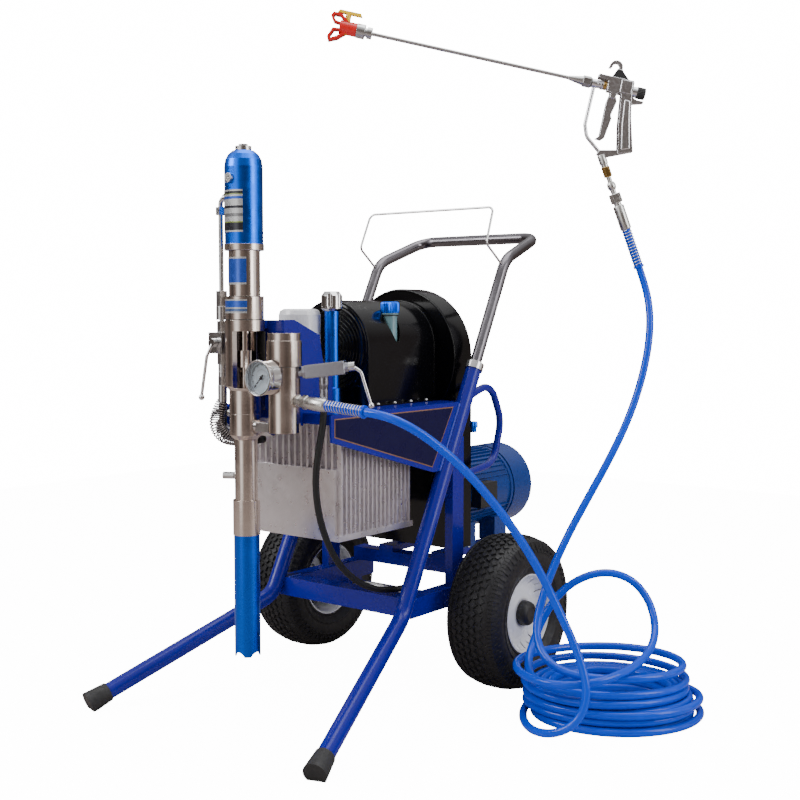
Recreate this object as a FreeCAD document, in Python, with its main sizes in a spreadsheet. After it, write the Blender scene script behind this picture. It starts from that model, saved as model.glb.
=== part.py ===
import FreeCAD, Part
import math
import os

import Sketcher
from FreeCAD import Placement, Rotation, Vector

# Airless paint sprayer on a two-wheeled cart, millimetres, +Z up.
# The cart's own frame: x = 0 is the centre plane, y = 0 and z = tyre_radius is the wheel axle,
# -Y is the pump side and +Y is the motor side.  The whole model is then shifted by
# (origin_x, origin_y) so that the row's origin is the bottom centre of the object's box.

DIMENSIONS = [
    ("origin_x", 79.6, "bottom centre of the box, seen from the cart's frame"),
    ("origin_y", -136.8, "bottom centre of the box, seen from the cart's frame"),
    ("tyre_radius", 165, "13 inch turf tyre"),
    ("tyre_half_width", 60.5, ""),
    ("track_half", 277.5, "centre plane to tyre centre"),
    ("rim_radius", 84, "rim flange"),
    ("rim_barrel", 76, ""),
    ("axle_radius", 10, ""),
    ("running_fit", 0.06, "radial clearance of everything that turns or slides"),
    ("frame_half", 180, "centre plane to side tube"),
    ("tube_radius", 17, "frame side tube"),
    ("tube_bore", 14.5, "frame side tube"),
    ("rail_height", 40, "base frame rails"),
    ("rail_top", 217, "base frame rails"),
    ("handle_radius", 12.5, "telescopic handle tube"),
    ("handle_bore", 10.5, "telescopic handle tube"),
    ("rack_radius", 2.7, "wire hose rack"),
    ("loop_radius", 8, "lifting loops beside the motor"),
    ("deck_top", 610, "deck that carries hood, filter and valve"),
    ("tank_half", 130, "oil tank wall, without fins"),
    ("fin_depth", 10, "oil tank cooling fins"),
    ("tank_bottom", 355, ""),
    ("tank_front", -397, ""),
    ("tank_rear", -160, ""),
    ("hood_radius", 99, "tunnel-shaped hood"),
    ("hood_axis", 727, "height of the hood's arc centre"),
    ("hood_front", -255, ""),
    ("guard_radius", 150, "belt guard"),
    ("guard_axis", 703, "height of the belt guard's arc centre"),
    ("guard_bottom", 284, ""),
    ("guard_front", -20, ""),
    ("guard_rear", 40, ""),
    ("motor_axis", 378, "height of the motor shaft"),
    ("motor_radius", 92, "motor frame without fins"),
    ("motor_rear", 392, "back of the fan cover"),
    ("fan_cover_radius", 98, ""),
    ("motor_shaft", 12, "shaft radius"),
    ("motor_pitch", 45, "motor pulley pitch radius"),
    ("pump_pitch", 75, "hydraulic pump pulley pitch radius"),
    ("pump_axis", 700, "height of the hydraulic pump shaft"),
    ("pump_shaft", 9, "shaft radius"),
    ("column_y", -507, "paint pump column"),
    ("dome_radius", 36.5, "blue top cylinder"),
    ("cylinder_radius", 30, "hydraulic cylinder"),
    ("housing_radius", 38, "coupling housing"),
    ("neck_radius", 31, "below the coupling housing, and the packing housing"),
    ("rod_radius", 11, "pump rod"),
    ("suction_radius", 25, "suction tube"),
    ("suction_bore", 21.5, "suction tube"),
    ("suction_bottom", 135, ""),
    ("manifold_x", 102, "high pressure filter axis"),
    ("manifold_radius", 30, ""),
    ("cap_radius", 33.5, "filter cap"),
    ("gauge_radius", 33, "63 mm pressure gauge"),
    ("gauge_height", 681, ""),
    ("hose_radius", 8, "paint hose, 3/8 inch"),
    ("drain_radius", 6.5, "drain hose"),
    ("oil_hose_radius", 8, "hydraulic hose with its spring guard"),
]
ORIGIN = Vector(0, 0, 0)
UPRIGHT = Rotation()
SLAB_HUGE = 2000.0          # side of the block that trims the feet at the floor
WELD = 3.0                  # how deep a welded tube or bar runs into its neighbour
SIDES = (-1, 1)

doc = FreeCAD.newDocument("AirlessSprayer")
sheet = doc.addObject("Spreadsheet::Sheet", "Sizes")
for row, (alias, size, note) in enumerate(DIMENSIONS, start=1):
    sheet.set("A%d" % row, alias)
    sheet.set("B%d" % row, str(size))
    sheet.set("C%d" % row, note)
    sheet.setAlias("B%d" % row, alias)
doc.recompute()
NODES = {}


def size(alias):
    return float(sheet.get(alias))


def value(term):
    """A number, a cell's alias, or (alias, offset)."""
    if isinstance(term, str):
        return size(term)
    if isinstance(term, tuple):
        return size(term[0]) + term[1]
    return float(term)


def formula(term):
    if isinstance(term, str):
        return "Sizes." + term
    if isinstance(term, tuple):
        return "Sizes.%s + %g" % term
    return None


SHIFT = Vector(-size("origin_x"), -size("origin_y"), 0)


def bind(obj, **terms):
    for prop, term in terms.items():
        text = formula(term)
        if text:
            obj.setExpression(prop, text)
        else:
            setattr(obj, prop, value(term))
    return obj


def node(label, obj, at=ORIGIN, turn=UPRIGHT):
    """Name a finished sub-part and put it in the row's frame."""
    obj.Label = label
    obj.Placement = Placement(SHIFT + at, turn)
    NODES[label] = obj
    return obj


def towards(direction):
    return Rotation(Vector(0, 0, 1), direction)


def block(low, high):
    box = doc.addObject("Part::Box", "Block")
    box.Length, box.Width, box.Height = [b - a for a, b in zip(low, high)]
    box.Placement.Base = Vector(*low)
    return box


def rod(radius, start, end):
    cylinder = doc.addObject("Part::Cylinder", "Rod")
    bind(cylinder, Radius=radius)
    cylinder.Height = (end - start).Length
    cylinder.Placement = Placement(start, towards(end - start))
    return cylinder


def taper(radius_a, radius_b, start, end):
    cone = doc.addObject("Part::Cone", "Taper")
    bind(cone, Radius1=radius_a, Radius2=radius_b)
    cone.Height = (end - start).Length
    cone.Placement = Placement(start, towards(end - start))
    return cone


def hexagon(across_flats, start, end):
    prism = doc.addObject("Part::Prism", "Hexagon")
    prism.Polygon = 6
    prism.Circumradius = across_flats / math.sqrt(3)
    prism.Height = (end - start).Length
    prism.Placement = Placement(start, towards(end - start))
    return prism


def fuse(*shapes):
    joined = doc.addObject("Part::MultiFuse", "Joined")
    joined.Shapes = list(shapes)
    return joined


def cut(base, *tools):
    tool = tools[0] if len(tools) == 1 else fuse(*tools)
    rest = doc.addObject("Part::Cut", "Rest")
    rest.Base = base
    rest.Tool = tool
    return rest


def group(*shapes):
    """Separate solids that share a node."""
    together = doc.addObject("Part::Compound", "Group")
    together.Links = list(shapes)
    return together


def mirrored(obj):
    """The left-hand twin of a shape in the cart's frame."""
    twin = doc.addObject("Part::Mirroring", "Twin")
    twin.Source = obj
    twin.Base = ORIGIN
    twin.Normal = Vector(1, 0, 0)
    return twin


def draw(body, plane, outlines):
    """A sketch of closed outlines.  A point is (x, y); a third item (mx, my) makes the edge that
    leaves the point an arc through (mx, my).  Cell names in a point are bound to the sheet."""
    sketch = body.newObject("Sketcher::SketchObject", "Outline")
    origin = [f for f in body.Origin.OriginFeatures if f.Role == plane + "_Plane"][0]
    sketch.AttachmentSupport = (origin, [""])
    sketch.MapMode = "FlatFace"
    for points in outlines:
        first = sketch.GeometryCount
        for i, point in enumerate(points):
            following = points[(i + 1) % len(points)]
            start = Vector(value(point[0]), value(point[1]), 0)
            end = Vector(value(following[0]), value(following[1]), 0)
            if len(point) > 2:
                middle = Vector(point[2][0], point[2][1], 0)
                sketch.addGeometry(Part.Arc(start, middle, end), False)
            else:
                sketch.addGeometry(Part.LineSegment(start, end), False)
        bound_terms(sketch, points, first)
    return sketch


def bound_terms(sketch, points, first):
    """Tie every coordinate that names a cell to that cell, on outlines of straight edges."""
    if any(len(point) > 2 for point in points):
        return
    count = len(points)
    for i in range(count):
        sketch.addConstraint(Sketcher.Constraint("Coincident", first + i, 2, first + (i + 1) % count, 1))
    for i, point in enumerate(points):
        for kind, term in (("DistanceX", point[0]), ("DistanceY", point[1])):
            rule = Sketcher.Constraint(kind, -1, 1, first + i, 1, value(term))
            index = sketch.addConstraint(rule)
            if formula(term):
                sketch.setExpression("Constraints[%d]" % index, formula(term))


def turned(outline):
    """A lathe-turned piece: a (radius, height) outline spun about its own Z axis."""
    body = doc.addObject("PartDesign::Body", "Turned")
    sketch = draw(body, "XZ", [outline])
    spin = body.newObject("PartDesign::Revolution", "Spin")
    spin.Profile = sketch
    spin.ReferenceAxis = (sketch, ["V_Axis"])
    spin.Angle = 360
    return body


def stepped(steps):
    """A solid turned piece from (radius, from height, to height) steps, bottom to top."""
    outline = [(0, steps[0][1])]
    for radius, low, high in steps:
        outline += [(radius, low), (radius, high)]
    outline.append((0, steps[-1][2]))
    return turned(outline)


def plate(plane, outlines, low, high):
    """A flat piece: outlines on an origin plane, padded along the plane's axis from low to high."""
    body = doc.addObject("PartDesign::Body", "Plate")
    sketch = draw(body, plane, outlines)
    pad = body.newObject("PartDesign::Pad", "Thickness")
    pad.Profile = sketch
    pad.Length = high - low
    along = {"XY": Vector(0, 0, 1), "XZ": Vector(0, -1, 0), "YZ": Vector(1, 0, 0)}[plane]
    start = -high if plane == "XZ" else low
    body.Placement.Base = along * start
    return body


def corner_radius(before, corner, after):
    """The radius of a hose's arc at a corner: 0.45 of the shorter run over tan(half the turn)."""
    run_in, run_out = corner - before, after - corner
    turn = run_in.getAngle(run_out)
    return 0.45 * min(run_in.Length, run_out.Length) / math.tan(turn / 2)


def centreline(points, radii=None):
    """Straight runs joined by tangent arcs; radii gives each inner corner's arc radius."""
    edges = []
    start = points[0]
    for i in range(1, len(points) - 1):
        before, corner, after = points[i - 1], points[i], points[i + 1]
        run_in = (corner - before).normalize()
        run_out = (after - corner).normalize()
        radius = radii[i - 1] if radii else corner_radius(before, corner, after)
        turn = run_in.getAngle(run_out)
        reach = radius * math.tan(turn / 2)
        tangent_in = corner - run_in * reach
        tangent_out = corner + run_out * reach
        inwards = (run_out - run_in).normalize()
        middle = corner + inwards * (radius / math.cos(turn / 2) - radius)
        edges.append(Part.LineSegment(start, tangent_in).toShape())
        edges.append(Part.Arc(tangent_in, middle, tangent_out).toShape())
        start = tangent_out
    edges.append(Part.LineSegment(start, points[-1]).toShape())
    return Part.Wire(edges)


def pipe(points, radius, radii=None):
    """A round bar of a bound radius along a centreline."""
    spine = doc.addObject("Part::Feature", "Spine")
    spine.Shape = centreline(points, radii)
    circle = doc.addObject("Part::Circle", "Section")
    bind(circle, Radius=radius)
    circle.Placement = Placement(points[0], towards(points[1] - points[0]))
    bar = doc.addObject("Part::Sweep", "Pipe")
    bar.Sections = [circle]
    bar.Spine = (spine, ["Edge%d" % (i + 1) for i in range(len(spine.Shape.Edges))])
    bar.Solid = True
    return bar


def hose(name, points, radius):
    """A free hose: its arcs are as large as its runs allow, and they are printed."""
    bar = pipe(points, radius)
    doc.recompute()
    radii = [corner_radius(*points[i - 1:i + 2]) for i in range(1, len(points) - 1)]
    length = bar.Spine[0].Shape.Length
    section = math.pi * value(radius) ** 2
    print("%s: length %.0f, arc radii %s, volume / (section x length) %.4f"
          % (name, length, [round(r) for r in radii], bar.Shape.Volume / (section * length)))
    return bar


def cart(x, y, z):
    return Vector(x, y, z)


# ---------------------------------------------------------------- frame
side = size("frame_half")
LEG_BEND = cart(side, -251, 181)
TUBE_TOP = cart(side, 4.0, 676.8)
FOOT = cart(306, -655, 14)
LEAN = (TUBE_TOP - LEG_BEND).normalize()
LEG_LINE = (FOOT - LEG_BEND).normalize()
CAP_LENGTH = 46


def tube_solid(radius="tube_radius"):
    return pipe([FOOT - LEG_LINE * 10, LEG_BEND, TUBE_TOP], radius, [60])


def side_tube():
    return cut(tube_solid(), tube_solid("tube_bore"))


def foot_cap():
    heel = FOOT - LEG_LINE * CAP_LENGTH
    rubber = taper(19.5, 23, heel, FOOT)
    socket = rod(("tube_radius", 0.05), heel, FOOT - LEG_LINE * 9.9)
    floor = block((0, -SLAB_HUGE, -SLAB_HUGE), (SLAB_HUGE, SLAB_HUGE, 0))
    return cut(rubber, socket, floor)


def base_frame():
    """Front bar and rails, with the rear beam, posts, motor beams and axle blocks welded on."""
    top = size("rail_top")
    low = top - size("rail_height")
    inner, outer = side - 28, side + 7
    bars = [block((-side + 14, -228, low), (side - 14, -188, top))]
    welded = [block((8 - side, 20, top), (side - 8, 60, top + 30))]
    tubes = [tube_solid(), mirrored(tube_solid())]
    bore = rod(("axle_radius", 0.05), cart(-250, 0, size("tyre_radius")), cart(250, 0, size("tyre_radius")))
    for s in SIDES:
        x0, x1 = sorted((s * inner, s * outer))
        bars.append(block((x0, -228, low), (x1, 70, top)))
        welded.append(cut(block((x0, -26, 138), (x1, 26, low)), bore))
        post = sorted((s * (side - 15), s * (side + 5)))
        welded.append(cut(block((post[0], -79, top), (post[1], -39, 536)), *tubes))
        beam = sorted((s * 55, s * 95))
        welded.append(block((beam[0], 20, top + 30), (beam[1], 300, top + 45)))
    return group(cut(fuse(*bars), *tubes), *welded)


def upper_frame():
    """Deck, its front lip and the two side panels; the left side stops short behind the hydraulic line."""
    deck = size("deck_top")
    pieces = [block((-60, -455, deck - 4), (178, -60, deck)),
              block((-178, -400, deck - 4), (-60, -60, deck)),
              block((-160, -60, deck - 4), (160, -24, deck)),
              block((-60, -459, deck - 20), (178, -455, deck))]
    rear = [(-51.5, 611), (-123.5, 470), (-147, 470)]
    for s, front in ((1, [(-465, 558), (-467, 609)]), (-1, [(-402, 552), (-402, 609)])):
        pieces.append(plate("YZ", [rear + front], s * side - 2, s * side + 2))
    return fuse(*pieces)


def lifting_loop():
    points = [cart(side, -20, 618), cart(side, 70, 646), cart(side, 114, 560), cart(side - 2, 86, 466),
              cart(side - 5, -45, 449)]
    post = block((side - 15, -79, 400), (side + 5, -39, 536))
    return cut(pipe(points, "loop_radius", [45, 70, 50]), tube_solid(), post)


tube_right = side_tube()
node("side_tube_right", tube_right)
node("side_tube_left", mirrored(side_tube()))
node("base_frame", base_frame())
node("upper_frame", upper_frame())
node("lifting_loops", group(lifting_loop(), mirrored(lifting_loop())))
node("foot_caps", group(foot_cap(), mirrored(foot_cap())))
collar_end = TUBE_TOP + LEAN * 16
collar = cut(rod(19.5, TUBE_TOP, collar_end), rod(("handle_radius", 0.06), TUBE_TOP, collar_end))
collar_twin = cut(rod(19.5, TUBE_TOP, collar_end), rod(("handle_radius", 0.06), TUBE_TOP, collar_end))
node("tube_collars", group(collar, mirrored(collar_twin)))

# ---------------------------------------------------------------- wheels
AXLE_HEIGHT = size("tyre_radius")
ALONG_X = Rotation(Vector(0, 0, 1), Vector(1, 0, 0))
axle = turned([(0, -331), ("axle_radius", -331), ("axle_radius", -224), (15, -224), (15, -188),
               ("axle_radius", -188), ("axle_radius", 188), (15, 188), (15, 224), ("axle_radius", 224),
               ("axle_radius", 331), (0, 331)])
node("axle", axle, cart(0, 0, AXLE_HEIGHT), ALONG_X)


def tyre():
    """Hollow carcass: tread, shoulders, sidewalls and the two beads that grip the rim."""
    half = size("tyre_half_width")
    outer = size("tyre_radius")
    return turned([(80, -45), (104, -half + 3), (outer - 30, -half), (outer - 9, -half + 8),
                   (outer - 2, -30), (outer, 0), (outer - 2, 30), (outer - 9, half - 8),
                   (outer - 30, half), (104, half - 3), (80, 45), (80, 36), (106, half - 12),
                   (outer - 32, half - 10), (outer - 16, half - 18), (outer - 12, 0),
                   (outer - 16, 18 - half), (outer - 32, 10 - half), (106, 12 - half), (80, -36)])


def rim():
    """Pressed steel rim: barrel with its two flanges, dished disc and hub tube, welded together."""
    barrel = size("rim_barrel")
    flange = size("rim_radius")
    bore = size("axle_radius") + size("running_fit")
    ring = turned([(barrel - 3, -50), (flange, -50), (flange, -47), (barrel + 3.9, -47), (barrel + 3.9, 47),
                   (flange, 47), (flange, 50), (barrel - 3, 50)])
    disc = turned([(24, 26), (40, 26), (60, 18), (barrel - 3, 18), (barrel - 3, 24), (62, 24), (42, 32),
                   (24, 32)])
    hub = turned([(bore, -48), (19, -48), (19, 26), (24, 26), (24, 46), (bore, 46)])
    return [ring, disc, hub]


def hub_cap():
    return turned([(24.05, 32), (26.5, 32), (26.5, 44), (24.5, 51), (19, 56), (0, 56), (0, 54.2), (17.5, 54.2),
                   (24.05, 47)])


for name, s in (("left", -1), ("right", 1)):
    centre = cart(s * size("track_half"), 0, AXLE_HEIGHT)
    outwards = Rotation(Vector(0, 0, 1), Vector(s, 0, 0))
    node("tyre_" + name, tyre(), centre, outwards)
    node("wheel_rim_" + name, group(*rim(), hub_cap()), centre, outwards)

# ---------------------------------------------------------------- handle
HANDLE_FOOT = TUBE_TOP - LEAN * 125
HANDLE_BEND = cart(side, 128, 918)
HANDLE_CORNER = cart(side - 16, 285, 975)


def handle():
    points = [HANDLE_FOOT, HANDLE_BEND, HANDLE_CORNER]
    points += [cart(-p.x, p.y, p.z) for p in reversed(points)]
    radii = [70, 42, 42, 70]
    return cut(pipe(points, "handle_radius", radii), pipe(points, "handle_bore", radii))


def hose_rack():
    points = [cart(180, 112, 908), cart(178, 54, 951), cart(174, 88, 1032)]
    points += [cart(-p.x, p.y, p.z) for p in reversed(points)]
    return pipe(points, "rack_radius", [12, 14, 14, 12])


# the handle's straight legs run exactly down the side tubes
HANDLE_BEND = TUBE_TOP + LEAN * ((HANDLE_BEND.z - TUBE_TOP.z) / LEAN.z)
node("handle", handle())
node("hose_rack", hose_rack())

# ---------------------------------------------------------------- oil tank and covers
def oil_tank():
    half = size("tank_half")
    front, rear, low = size("tank_front"), size("tank_rear"), size("tank_bottom")
    top = size("deck_top") - 4.0
    depth = size("fin_depth")
    ledge = 496
    shell = block((-half, front + 14, low), (half, rear, top))
    sump = block((-half, front, low), (half, front + 14, ledge))
    rim_plate = block((-half - depth, front - 4, top - 8), (half + depth, rear + 4, top))
    foot_plate = block((-half - depth, front, low), (half + depth, rear, low + 12))
    pieces = [shell, sump, rim_plate, foot_plate]
    for i in range(17):
        y = front + 8 + i * 13.4
        for s in SIDES:
            x0, x1 = sorted((s * (half - 1), s * (half + depth)))
            pieces.append(block((x0, y, low + 10), (x1, y + 5, top - 6)))
    for i in range(16):
        x = -half + 6 + i * 16.2
        pieces.append(block((x, front + 2, ledge - 1), (x + 5, front + 15, top - 6)))
    hollow = block((-half + 7, front + 21, low + 7), (half - 7, rear - 7, top + 1))
    return cut(fuse(*pieces), hollow)


def arch(half, axis, low):
    """A door-shaped outline: straight sides and a half-round top."""
    return [(-half, low), (half, low), (half, axis, (0, axis + half)), (-half, axis)]


def hood():
    radius, axis, front = size("hood_radius"), size("hood_axis"), size("hood_front")
    low, rear = size("deck_top"), size("guard_front")
    shell = plate("XZ", [arch(radius, axis, low)], front, rear)
    hollow = plate("XZ", [arch(radius - 2, axis, low - 5)], front + 2, rear + 5)
    flanges = [block((min(s * radius, s * (radius + 16)), front, low),
                     (max(s * radius, s * (radius + 16)), rear, low + 3)) for s in SIDES]
    neck_hole = rod(20.6, cart(78, -158, 740), cart(78, -158, 830))
    return cut(fuse(shell, *flanges), hollow, neck_hole)


def belt_guard():
    radius, axis, low = size("guard_radius"), size("guard_axis"), size("guard_bottom")
    front, rear = size("guard_front"), size("guard_rear")
    shell = plate("XZ", [arch(radius, axis, low)], front, rear)
    hollow = plate("XZ", [arch(radius - 2.5, axis, low + 2.5)], front + 2.5, rear - 2.5)
    pump_hole = rod(14, cart(0, front - 5, size("pump_axis")), cart(0, front + 5, size("pump_axis")))
    motor_hole = rod(18, cart(0, rear - 5, size("motor_axis")), cart(0, rear + 5, size("motor_axis")))
    return cut(shell, hollow, pump_hole, motor_hole)


def cover_screws():
    heads = []
    for s in SIDES:
        for y in (-235, -180, -125, -70):
            base = cart(s * (size("hood_radius") + 9), y, size("deck_top") + 3)
            heads.append(taper(5, 3.4, base, base + Vector(0, 0, 3)))
    return group(*heads)


node("oil_tank", oil_tank())
node("hood", hood())
node("belt_guard", belt_guard())
node("cover_screws", cover_screws())

# ---------------------------------------------------------------- motor and belt drive
ALONG_Y = Rotation(Vector(0, 0, 1), Vector(0, 1, 0))
MOTOR_LINE = cart(0, 0, size("motor_axis"))
CORE = 60


def motor_housing():
    """Frame with its two end bells; the bells carry the shaft."""
    bore = size("motor_shaft") + size("running_fit")
    radius = size("motor_radius")
    frame = turned([(bore, 40.1), (radius - 24, 40.1), (radius, 58), (radius + 6, 60), (radius + 6, 70),
                    (radius, 72), (radius, 290), (radius + 4, 292), (radius + 4, 302), (bore, 302),
                    (bore, 292), (CORE + 1, 280), (CORE + 1, 76), (bore, 60)])
    frame.Placement = Placement(MOTOR_LINE, ALONG_Y)
    feet = [block((min(s * 50, s * 95), y, 262), (max(s * 50, s * 95), y + 50, 318))
            for s in SIDES for y in (90, 220)]
    barrel = rod("motor_radius", cart(0, 80, size("motor_axis")), cart(0, 285, size("motor_axis")))
    return group(frame, *[cut(foot, barrel) for foot in feet])


def fan_cover():
    radius, rear = size("fan_cover_radius"), size("motor_rear")
    return turned([(radius - 2, 303), (radius, 303), (radius, rear - 12), (radius - 10, rear), (26, rear),
                   (26, rear - 2), (radius - 11, rear - 2), (radius - 2, rear - 12)])


def motor_rotor():
    shaft = stepped([("motor_shaft", -12, 90), (CORE, 90, 265), ("motor_shaft", 265, 378)])
    shaft.Placement = Placement(MOTOR_LINE, ALONG_Y)
    hub = rod(24, cart(0, 330, size("motor_axis")), cart(0, 350, size("motor_axis")))
    disc = rod(62, cart(0, 330, size("motor_axis")), cart(0, 333, size("motor_axis")))
    blades = []
    for i in range(8):
        blade = block((-1.5, 333, 20), (1.5, 358, 84))
        turn = Rotation(Vector(0, 1, 0), i * 45)
        blade.Placement = Placement(MOTOR_LINE + turn.multVec(cart(-1.5, 333, 20)), turn)
        blades.append(blade)
    return group(shaft, cut(fuse(hub, disc, *blades),
                            rod(("motor_shaft", 0.02), cart(0, 320, size("motor_axis")),
                                cart(0, 360, size("motor_axis")))))


GROOVES = (2, 20)           # where each belt starts along Y
BELT_WIDTH = 13


def pulley(pitch, bore):
    """Two-groove pulley, its outline in (radius, y)."""
    rim_radius = pitch + 5
    outline = [(bore, -8), (rim_radius, -8)]
    for y in GROOVES:
        outline += [(rim_radius, y - 0.5), (pitch - 5, y - 0.5), (pitch - 5, y + BELT_WIDTH + 0.5),
                    (rim_radius, y + BELT_WIDTH + 0.5)]
    outline += [(rim_radius, 36), (bore, 36)]
    return turned(outline)


def belt_outline(offset):
    """An open belt line round both pulleys, offset from the pitch line."""
    low, high = size("motor_axis"), size("pump_axis")
    small, large = size("motor_pitch") + offset, size("pump_pitch") + offset
    tilt = math.asin((large - small) / (high - low))
    c, s = math.cos(tilt), math.sin(tilt)
    return [(small * c, low - small * s), (large * c, high - large * s, (0, high + large)),
            (-large * c, high - large * s), (-small * c, low - small * s, (0, low - small))]


def drive_belts():
    return group(*[plate("XZ", [belt_outline(4), belt_outline(-4.5)], y, y + BELT_WIDTH) for y in GROOVES])


def gear_pump():
    """Hydraulic pump under the hood, on a bracket that stands on the deck."""
    axis = size("pump_axis")
    casing = block((-45, -150, axis - 52), (45, -60, axis + 52))
    nose = rod(28, cart(0, -60, axis), cart(0, -30, axis))
    stand = block((-40, -140, size("deck_top")), (40, -70, axis - 52))
    bore = rod(("pump_shaft", 0.06), cart(0, -100, axis), cart(0, -20, axis))
    return cut(fuse(casing, nose, stand), bore)


def pump_pulley():
    wheel = pulley(size("pump_pitch"), size("pump_shaft") + 0.02)
    shaft = stepped([("pump_shaft", -98, 34)])
    return group(wheel, shaft)


node("motor_housing", motor_housing())
node("motor_fan_cover", fan_cover(), MOTOR_LINE, ALONG_Y)
terminal_box = cut(block((86, 128, 352), (118, 196, 408)), rod(("motor_radius", 0.1),
                   cart(0, 100, size("motor_axis")), cart(0, 220, size("motor_axis"))),
                   rod(8, cart(105, 162, 340), cart(105, 162, 372)))
node("motor_terminal_box", terminal_box)
node("motor_rotor", motor_rotor())
node("motor_pulley", pulley(size("motor_pitch"), size("motor_shaft") + 0.02), MOTOR_LINE, ALONG_Y)
node("drive_belts", drive_belts())
node("pump_pulley", pump_pulley(), cart(0, 0, size("pump_axis")), ALONG_Y)
node("gear_pump", gear_pump())

# ---------------------------------------------------------------- oil system on the deck
CAP_AT = cart(78, -158, 0)
DECK = size("deck_top")
neck = turned([(12, DECK), (15, DECK), (15, 796), (18, 796), (18, 799), (12, 799)])
node("filler_neck", neck, CAP_AT)
cap = turned([(0, 799.1), (20, 799.1), (20, 820), (17, 823), (0, 823)])
node("filler_cap", cap, CAP_AT)
oil_filter = turned([(0, DECK), (36, DECK), (36, 634), (43, 638), (43, 796), (40, 804), (32, 808), (0, 808)])
node("oil_filter", oil_filter, cart(-25, -325, 0))
VALVE_AT = cart(40, -300, 0)
valve = turned([(0, DECK), (21, DECK), (21, 618), (18, 618), (18, 647), (14.7, 649), (14.7, 803), (8, 803),
                (8, 838), (0, 838)])
node("control_valve", valve, VALVE_AT)


def lobed_knob():
    """Six-lobed hand knob with a blind bore for the valve's stem."""
    blank = turned([(8.06, 803.2), (17, 803.2), (21.5, 808), (21.5, 834), (15, 843), (0, 843), (0, 838.5),
                    (8.06, 838.5)])
    flutes = []
    for i in range(6):
        angle = math.radians(60 * i)
        flute = cart(25.5 * math.cos(angle), 25.5 * math.sin(angle), 812)
        flutes.append(rod(7.5, flute, flute + Vector(0, 0, 40)))
    return cut(blank, *flutes)


node("control_knob", lobed_knob(), VALVE_AT)

# ---------------------------------------------------------------- paint pump column
COLUMN = cart(0, size("column_y"), 0)


def pump_bracket():
    """Upright plate on the deck's front edge, two gussets, and the pads the pump and filter bolt to."""
    y = size("column_y")
    upright = block((-45, -468, DECK - 24), (105, -459, 700))
    head = block((-45, -468, 700), (65, -459, 786))
    pads = [block((-24, y + 30, 770), (24, -468, 784)), block((-24, y + 26, 612), (24, -468, 640)),
            block((80, -478, 620), (105, -468, 690))]
    short = [(-459, 784), (-459, DECK), (-388, DECK), (-388, 640)]
    long = [(-459, 786), (-459, DECK), (-327, DECK), (-327, 670), (-356, 704), (-366, 756), (-438, 786)]
    gussets = [plate("YZ", [short], -40, -33), plate("YZ", [long], 58, 65)]
    housing = rod(("housing_radius", 0.0), cart(0, y, 600), cart(0, y, 800))
    lower = rod(("neck_radius", 0.0), cart(0, y, 600), cart(0, y, 660))
    filter_body = rod("manifold_radius", cart(size("manifold_x"), y, 600), cart(size("manifold_x"), y, 700))
    return cut(fuse(upright, head, *pads, *gussets), housing, lower, filter_body)


def coupling_housing():
    """Yoke between motor and pump, open on both sides of the coupling."""
    y = size("column_y")
    bore = size("rod_radius") + size("running_fit")
    yoke = turned([(bore, 607), ("neck_radius", 607), ("neck_radius", 652), ("housing_radius", 660),
                   ("housing_radius", 786), (bore, 786), (bore, 766), (26, 766), (26, 656), (bore, 656)])
    yoke.Placement.Base = COLUMN
    window = block((4, y - 60, 657), (60, y + 60, 765))
    return cut(yoke, window)


def pump_rod():
    """Drive rod with its coupling nut, from the hydraulic piston to the paint piston."""
    return stepped([(19, 474, 492), ("rod_radius", 492, 696), (18, 696, 728), ("rod_radius", 728, 850),
                    (26.5, 850, 872)])


def suction_tube():
    """Open tube with four scallops cut into its mouth."""
    low = size("suction_bottom")
    tube = turned([("suction_bore", low), ("suction_radius", low), ("suction_radius", 372),
                   ("suction_bore", 372)])
    tube.Placement.Base = COLUMN
    y = size("column_y")
    notches = [rod(13, cart(-40, y, low - 4), cart(40, y, low - 4)),
               rod(13, cart(0, y - 40, low - 4), cart(0, y + 40, low - 4))]
    return cut(tube, *notches)


def pump_fittings():
    """Plugs on the dome and the union between pump and filter."""
    y = size("column_y")
    top_cap = [rod(15.5, cart(0, y, 1105), cart(0, y, 1114)), hexagon(16, cart(0, y, 1114), cart(0, y, 1118))]
    side_plug = rod(9, cart(0, y - 36.3, 1052), cart(0, y - 42, 1052))
    start, end = 31.2, size("manifold_x") - size("manifold_radius") + 0.6
    union = [hexagon(30, cart(start + 9, y, 584), cart(end, y, 584)),
             rod(13, cart(start, y, 584), cart(start + 9, y, 584))]
    side_port = rod(7, cart(-22, y - 10, 486), cart(-42, y - 20, 486))
    return group(fuse(*top_cap), side_plug, fuse(*union), side_port)


node("pump_bracket", pump_bracket())
dome = turned([(30.05, 918), (37.5, 918), (37.5, 930), ("dome_radius", 930), ("dome_radius", 1074),
               (34.5, 1088), (29, 1098), (21, 1105), (0, 1105), (0, 1096), (24, 1092), (30.05, 1076)])
node("cylinder_dome", dome, COLUMN)
cylinder = turned([(11.06, 787), ("dome_radius", 787), ("dome_radius", 831), ("cylinder_radius", 831),
                   ("cylinder_radius", 940), (26.6, 940), (26.6, 812), (11.06, 812)])
node("hydraulic_cylinder", cylinder, COLUMN)
node("coupling_housing", coupling_housing())
node("pump_rod", pump_rod(), COLUMN)
packing = turned([(11.06, 557), (22, 557), (31, 566), (31, 606.9), (11.06, 606.9)])
node("packing_housing", packing, COLUMN)
fluid = turned([(19.06, 440), (22.2, 440), (22.2, 556.9), (11.06, 556.9), (11.06, 545), (19.06, 545)])
node("fluid_cylinder", fluid, COLUMN)
valve_body = turned([(8, 372.1), (26.2, 372.1), (26.2, 439.9), (8, 439.9)])
node("foot_valve", valve_body, COLUMN)
node("suction_tube", suction_tube())
node("pump_fittings", pump_fittings())

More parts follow.
